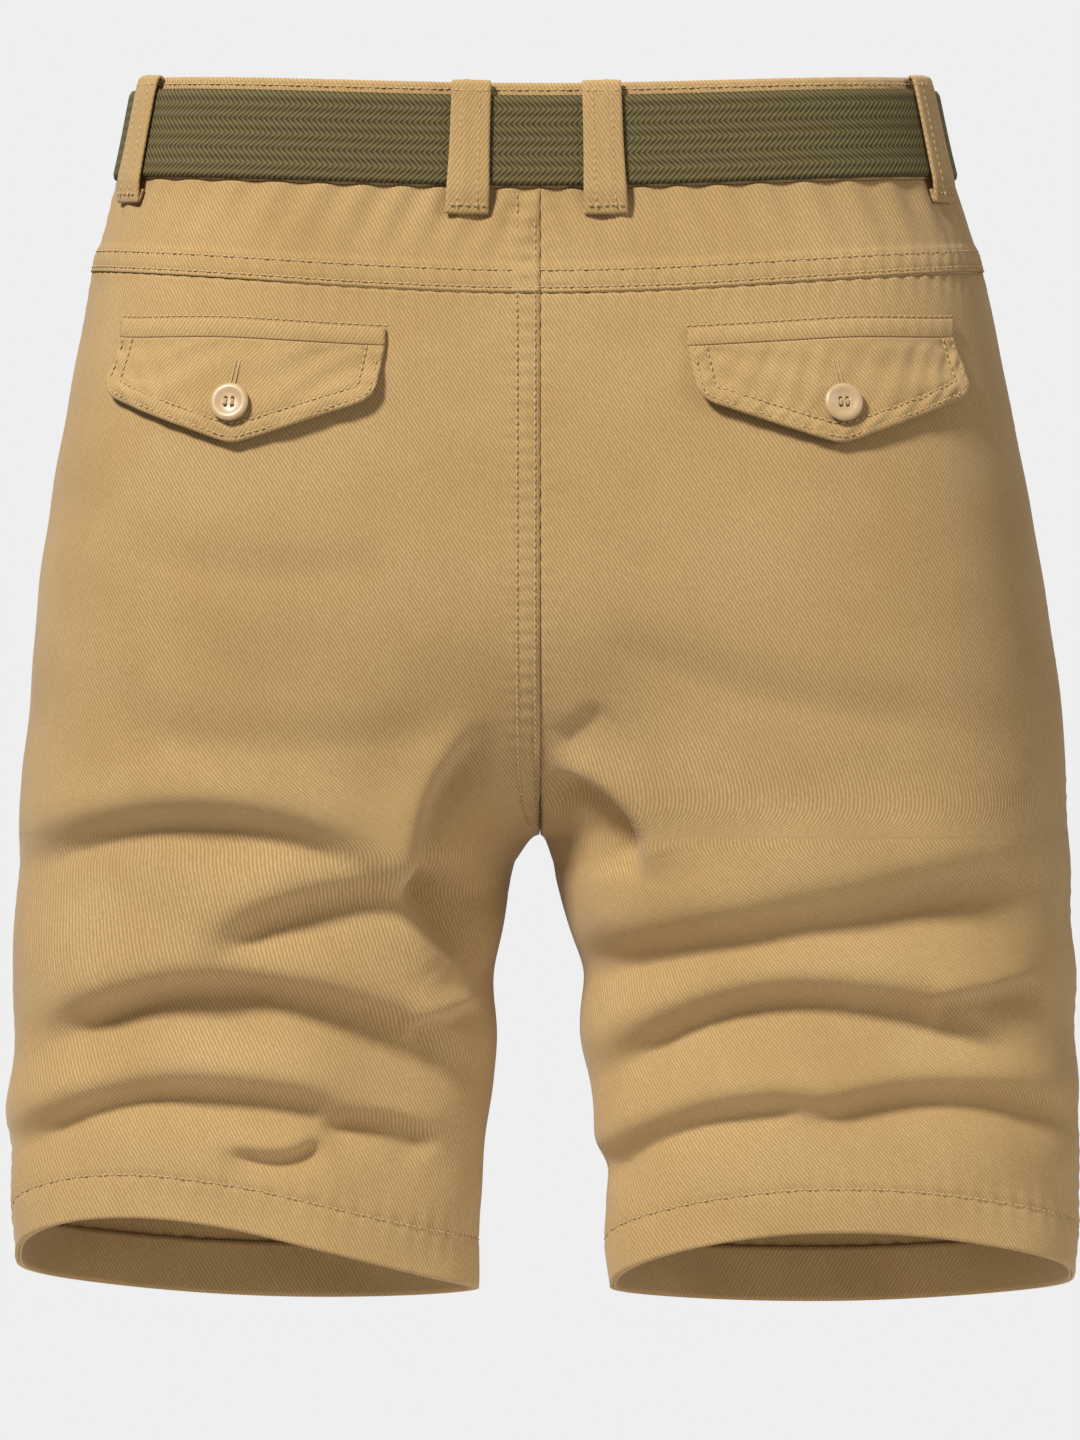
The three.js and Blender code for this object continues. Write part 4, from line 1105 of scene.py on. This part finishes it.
@dataclass
class BackPocket:
    """A welted back pocket with a pointed flap and a button."""

    form: Form
    wardrobe: Wardrobe
    stitcher: Stitcher
    side: Side
    width: float = 123.0
    top: float = -78.0
    drop: float = 2.5
    welt_height: float = 8.0
    side_depth: float = 25.0
    point_depth: float = 49.0
    flare: float = 5.0
    lift: float = 3.0
    stand_off: float = 0.6
    rounding: float = 0.06
    button_down: float = 19.0
    buttonhole_rise: float = 13.5
    flap_wall: float = 1.5
    welt_wall: float = 1.2

    @property
    def start(self) -> float:
        """Where the pocket begins, in millimetres from the centre seam."""
        return 67.0 if self.side is Side.LEFT else 64.0

    def edge(self, share: Grid) -> Grid:
        """Height of the pocket's top edge."""
        return self.top - self.drop * smooth(0.5, 1, share)

    def depth(self, share: Grid) -> Grid:
        """Depth of the flap at a share of its width: two slopes to a soft point, and rounded corners."""
        slope = 1 - np.sqrt((2 * share - 1) ** 2 + 0.0035)
        corner = np.clip(np.minimum(share, 1 - share) / self.rounding, 0, 1)
        rounded = np.sqrt(1 - (1 - corner) ** 2)
        return self.side_depth + (self.point_depth - self.side_depth) * slope - 5.0 * (1 - rounded)

    def flap_at(self, share: Grid, down: Grid, offset: Grid | float) -> Grid:
        """Points of the flap, by share of its width and share of its depth."""
        share, down = np.broadcast_arrays(share, down)
        fall = self.depth(share) * down
        z = self.edge(share) - self.welt_height - 0.3 - fall
        along = self.start + self.width * share + self.flare * np.minimum(1, fall / self.side_depth)
        curl = self.lift * smooth(0.1, 1, down) + 1.2 * smooth(0.5, 1, down) * smooth(0.45, 0.1, share)
        return self.form.tailor(self.side, BACK, along, z, self.stand_off + curl + offset)

    def crinkle(self, share: Grid, down: Grid) -> Grid:
        """Creases that washing sets in a flap, running down from its top edge and in from its corners."""
        x, z = share * self.width, down * self.point_depth
        turn = 0.0 if self.side is Side.LEFT else 2.4
        made = np.sin((x + 0.35 * z) / 2.3 + 1.6 * np.sin(x / 11 + turn) + turn)
        made = made * np.sin(x / 7.1 + z / 9.5 + turn)
        made = made + 0.7 * np.sin((z - 0.5 * x) / 3.6 + 1.2 * np.sin(x / 9 + turn))
        calm = 1 - 0.75 * np.exp(-(((x - self.width / 2) / 10) ** 2) - (((z - 30) / 10) ** 2))
        return 0.42 * made * calm * smooth(0, 0.15, down)

    def build(self) -> None:
        """Make the welt, the flap, its stitches and its button."""
        self.build_welt()
        self.build_flap()
        self.sew_rows()
        self.build_button()

    def build_welt(self) -> None:
        """The welt, a narrow raised strip along the pocket's mouth."""
        node = f"back_pocket_welt_{self.side.word}"
        share, down = row_of(70), column_of(12)
        z = self.edge(share) - self.welt_height * down
        along = self.start + self.width * share + 0 * down
        rib = 0.5 * np.sin(math.pi * down) + pucker(along, down * self.welt_height - 1, 7.0, 6.0, 0.18)
        outer, inner = (self.form.tailor(self.side, BACK, along, z, self.stand_off + lift)
                        for lift in (self.welt_wall + rib, 0))
        made = wall(node + "_cloth", outer, inner, np.dstack([along, z]))
        dress(made, self.wardrobe.twill, "twill", node)
        lay(made)

    def build_flap(self) -> None:
        """The flap: rolled edges, a swell along them between two rows of stitches, and crinkles."""
        node = f"back_pocket_flap_{self.side.word}"
        share, down = row_of(96), column_of(48)
        fall = self.depth(share) * down
        to_side = np.minimum(share, 1 - share) * self.width
        to_edge = np.minimum(to_side, (self.depth(share) - fall) * 0.93)
        lap = -0.9 * smooth(1.4, 0, to_edge) + 0.5 * smooth(9.0, 5.0, to_edge) + self.crinkle(share, down)
        lap = lap + pucker(share * self.width + fall, to_edge - 5, 7.0, 5.0, 0.2)
        lap = lap + sum(groove(to_edge - row, 0.35, 0.9) for row in FLAP_ROWS)
        outer, inner = self.flap_at(share, down, self.flap_wall + lap), self.flap_at(share, down, 0)
        made = wall(node + "_cloth", outer, inner, np.dstack([share * self.width + 0 * down, -fall]))
        dress(made, self.wardrobe.twill, "twill", node)
        lay(made)

    def sew_rows(self) -> None:
        """One row along the welt and two round the flap's open edges."""
        share = np.linspace(0, 1, 96)
        along, z = self.start + self.width * share, self.edge(share) + 1.6
        paths = [self.form.tailor(self.side, BACK, along, z, 0.2)]
        for inset, lift in zip(FLAP_ROWS, (0.42, 0.32)):
            s = np.linspace(inset / self.width, 1 - inset / self.width, 80)
            low = 1 - inset * 1.07 / self.depth(s)
            d = np.linspace(0.04, low[0], 14)
            left, right = self.flap_at(s[:1], d, 1.8), self.flap_at(s[-1:], d[::-1], 1.8)
            paths.append(np.vstack([left, self.flap_at(s, low, self.flap_wall + lift)[1:-1], right]))
        self.stitcher.sew(f"stitches_back_pocket_{self.side.word}", paths)

    def build_button(self) -> None:
        """The button through the flap, with its buttonhole above it."""
        node = f"back_pocket_button_{self.side.word}"
        down = 1 - self.button_down / self.point_depth
        middle, east, north = (self.flap_at(np.array([s]), np.array([d]), 0)[0]
                               for s, d in ((0.5, down), (0.56, down), (0.5, down - 0.12)))
        right = Vector(east - middle).normalized() * self.side.value
        up = Vector(north - middle).normalized()
        normal = right.cross(up).normalized()
        if normal.y > 0:
            normal = -normal
        Button(node, normal, up.cross(normal).normalized(), self.wardrobe).build()
        rise = down - self.buttonhole_rise / self.point_depth
        d = np.linspace(rise - 0.11, rise + 0.11, 10)
        holes = [self.flap_at(np.array([0.5 + k * 0.9 / self.width]), d, 1.85) for k in (-1, 1)]
        self.stitcher.sew(f"buttonhole_{self.side.word}", holes, BUTTONHOLE_STITCH)


@dataclass
class Button:
    """A four-hole button where a CAD node is: a rim, a dished middle, holes, and thread across them."""

    node: str
    normal: Vector
    right: Vector
    wardrobe: Wardrobe
    # Radius and height of each ring, from the dished middle over the rim to the back.
    rings: tuple[tuple[float, float], ...] = (
        (1.0, 0.75), (3.4, 0.8), (4.6, 1.0), (5.6, 1.5), (6.6, 1.7), (7.6, 1.55), (8.3, 1.0), (8.5, 0.2),
        (8.2, -0.7), (7.0, -1.25))
    around: int = 48
    hole_ring: float = 2.1
    hole_radius: float = 0.85
    hole_sides: int = 14
    strand_sides: int = 6

    def seat(self, made: Object) -> Object:
        """Move a mesh from the button's own axes to its place in the frame."""
        low, high = (Vector(corner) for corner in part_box(self.node))
        up = self.normal.cross(self.right).normalized()
        for vertex in made.data.vertices:
            x, y, z = vertex.co
            vertex.co = (low + high) / 2 + self.right * x + up * y + self.normal * z
        return made

    def disc(self) -> Object:
        """The button with its holes cut through."""
        turns = np.arange(self.around) * 2 * math.pi / self.around
        points = np.vstack([np.column_stack([r * np.cos(turns), r * np.sin(turns), np.full(self.around, h)])
                            for r, h in self.rings])
        faces = bands(len(self.rings), self.around)
        faces.append(tuple(range(self.around))[::-1])
        faces.append(tuple(len(points) - self.around + k for k in range(self.around)))
        made = mesh_object(self.node + "_horn", points, [face[::-1] for face in faces])
        n = self.hole_sides
        turns = np.arange(n) * 2 * math.pi / n
        corners, sides = [], []
        for k in range(4):
            x, y = (self.hole_ring * turn(math.pi / 4 + math.pi / 2 * k) for turn in (math.cos, math.sin))
            start = 2 * n * k
            for height in (4.0, -4.0):
                corners += [(x + self.hole_radius * math.cos(a), y + self.hole_radius * math.sin(a), height)
                            for a in turns]
            sides += [(start + j, start + n + j, start + n + (j + 1) % n, start + (j + 1) % n)
                      for j in range(n)]
            sides += [tuple(start + j for j in range(n)), tuple(start + 2 * n - 1 - j for j in range(n))]
        cutter = mesh_object(self.node + " cutter", np.array(corners), sides)
        modifier = made.modifiers.new("Holes", "BOOLEAN")
        modifier.operation, modifier.solver, modifier.object = "DIFFERENCE", "EXACT", cutter
        holed = bpy.data.meshes.new_from_object(made.evaluated_get(bpy.context.evaluated_depsgraph_get()))
        made.modifiers.clear()
        made.data = holed
        bpy.data.objects.remove(cutter)
        return made

    def thread(self) -> Object:
        """Four strands through the holes, two and two."""
        n = self.strand_sides
        points, faces = [], []
        for x in (-1.73, -1.23, 1.23, 1.73):
            start = len(points)
            bend = np.linspace(-1.55, 1.55, 9)
            for y in bend:
                height = 1.25 - 0.55 * (abs(y) / 1.55) ** 4
                points += [(x + 0.26 * math.cos(a), y, height + 0.26 * math.sin(a))
                           for a in np.arange(n) * 2 * math.pi / n]
            faces += bands(len(bend), n, start)
            faces.append(tuple(start + k for k in range(n - 1, -1, -1)))
            faces.append(tuple(len(points) - n + k for k in range(n)))
        return mesh_object(self.node + "_horn_thread", np.array(points), faces)

    def build(self) -> None:
        """Make the button and its thread."""
        dress(self.seat(self.disc()), self.wardrobe.horn, "button", self.node)
        dress(self.seat(self.thread()), self.wardrobe.thread, "twill")


# ------------------------------------------------------------------------------------------------ the studio


@dataclass(frozen=True)
class Studio:
    """A pale studio: a floor, a key lamp high on the left, a fill, and a camera level with the middle."""

    pale: str = "#EFEFEF"
    distance: float = 5.5
    view_height: float = 0.6365
    sensor: float = 36.0
    middle: float = -0.2572
    floor_gap: float = 0.13
    floor_radius: float = 650.0
    floor_sides: int = 96

    def paint(self) -> Material:
        """The floor's matt paint."""
        finish = Finish("painted studio floor")
        finish.shader.inputs["Base Color"].default_value = linear(self.pale)
        finish.shader.inputs["Roughness"].default_value = 0.9
        return finish.material

    def lamp(self, name: str, place: tuple[float, float, float], size: float, energy: float) -> None:
        """An area lamp aimed at the shorts' middle."""
        data = bpy.data.lights.new(name, "AREA")
        data.shape, data.size, data.energy = "DISK", size, energy
        made = link_object(name, data)
        made.location = place
        aim = Vector((0, 0, self.middle)) - Vector(place)
        made.rotation_euler = aim.to_track_quat("-Z", "Y").to_euler()

    def build(self) -> None:
        """Make the floor, the lamps, the world and the camera."""
        floor_z = (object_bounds()[0][2] - self.floor_gap) / MM
        turns = np.arange(self.floor_sides) * 2 * math.pi / self.floor_sides
        ring = [(self.floor_radius * math.cos(a), self.floor_radius * math.sin(a), floor_z) for a in turns]
        floor = mesh_object("studio_floor", np.array(ring), [tuple(range(self.floor_sides))])
        floor.data.materials.append(self.paint())
        floor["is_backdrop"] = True
        scene = bpy.context.scene
        world = bpy.data.worlds.new("studio")
        world.use_nodes = True
        tree = world.node_tree
        tree.nodes.clear()
        # Rays that see the studio find it pale; rays that only gather light find it dim.
        rays = add_node(tree, "ShaderNodeLightPath").outputs
        seen = add_node(tree, "ShaderNodeMath", {0: rays["Is Camera Ray"], 1: rays["Is Glossy Ray"]},
                        operation="MAXIMUM")
        seen = add_node(tree, "ShaderNodeMath", {0: seen.outputs[0], 1: rays["Is Transmission Ray"]},
                        operation="MAXIMUM")
        soft = add_node(tree, "ShaderNodeBackground", {"Color": (1.0, 0.99, 0.97, 1), "Strength": 0.15})
        shown = add_node(tree, "ShaderNodeBackground", {"Color": linear(self.pale), "Strength": 1.0})
        both = add_node(tree, "ShaderNodeMixShader",
                        {0: seen.outputs[0], 1: soft.outputs[0], 2: shown.outputs[0]})
        add_node(tree, "ShaderNodeOutputWorld", {"Surface": both.outputs[0]})
        scene.world = world
        self.lamp("key", (-1.9, -2.6, 2.6), 0.8, 245)
        self.lamp("fill", (3.0, -1.8, 0.4), 2.0, 40)
        self.lamp("top", (-0.2, 0.6, 2.6), 1.6, 30)
        data = bpy.data.cameras.new("camera")
        data.sensor_width = self.sensor
        data.lens = self.sensor * self.distance / self.view_height
        data.clip_end = 60
        camera = link_object("camera", data)
        camera.location = (0.0, -self.distance, self.middle)
        camera.rotation_euler = (math.pi / 2, 0, 0)
        scene.camera = camera
        scene.view_settings.view_transform = "Standard"


def main(nodes: dict[str, Object]) -> None:
    """Build the shorts around the frame's nodes, and the studio."""
    logging.basicConfig(level=logging.INFO, format="%(name)s: %(message)s")
    form, wardrobe = Form(), Wardrobe.stocked()
    stitcher = Stitcher(wardrobe.thread)
    Body(form, wardrobe, stitcher).build()
    FrontPockets(form, wardrobe, stitcher).build()
    Waist(form, wardrobe, stitcher, nodes).build()
    for side in Side:
        BackPocket(form, wardrobe, stitcher, side).build()
    Button("waist_button", Vector((0, 1, 0)), Vector((-1, 0, 0)), wardrobe).build()
    Studio().build()


if __name__ == "__main__":
    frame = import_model()
    main(frame["nodes"])
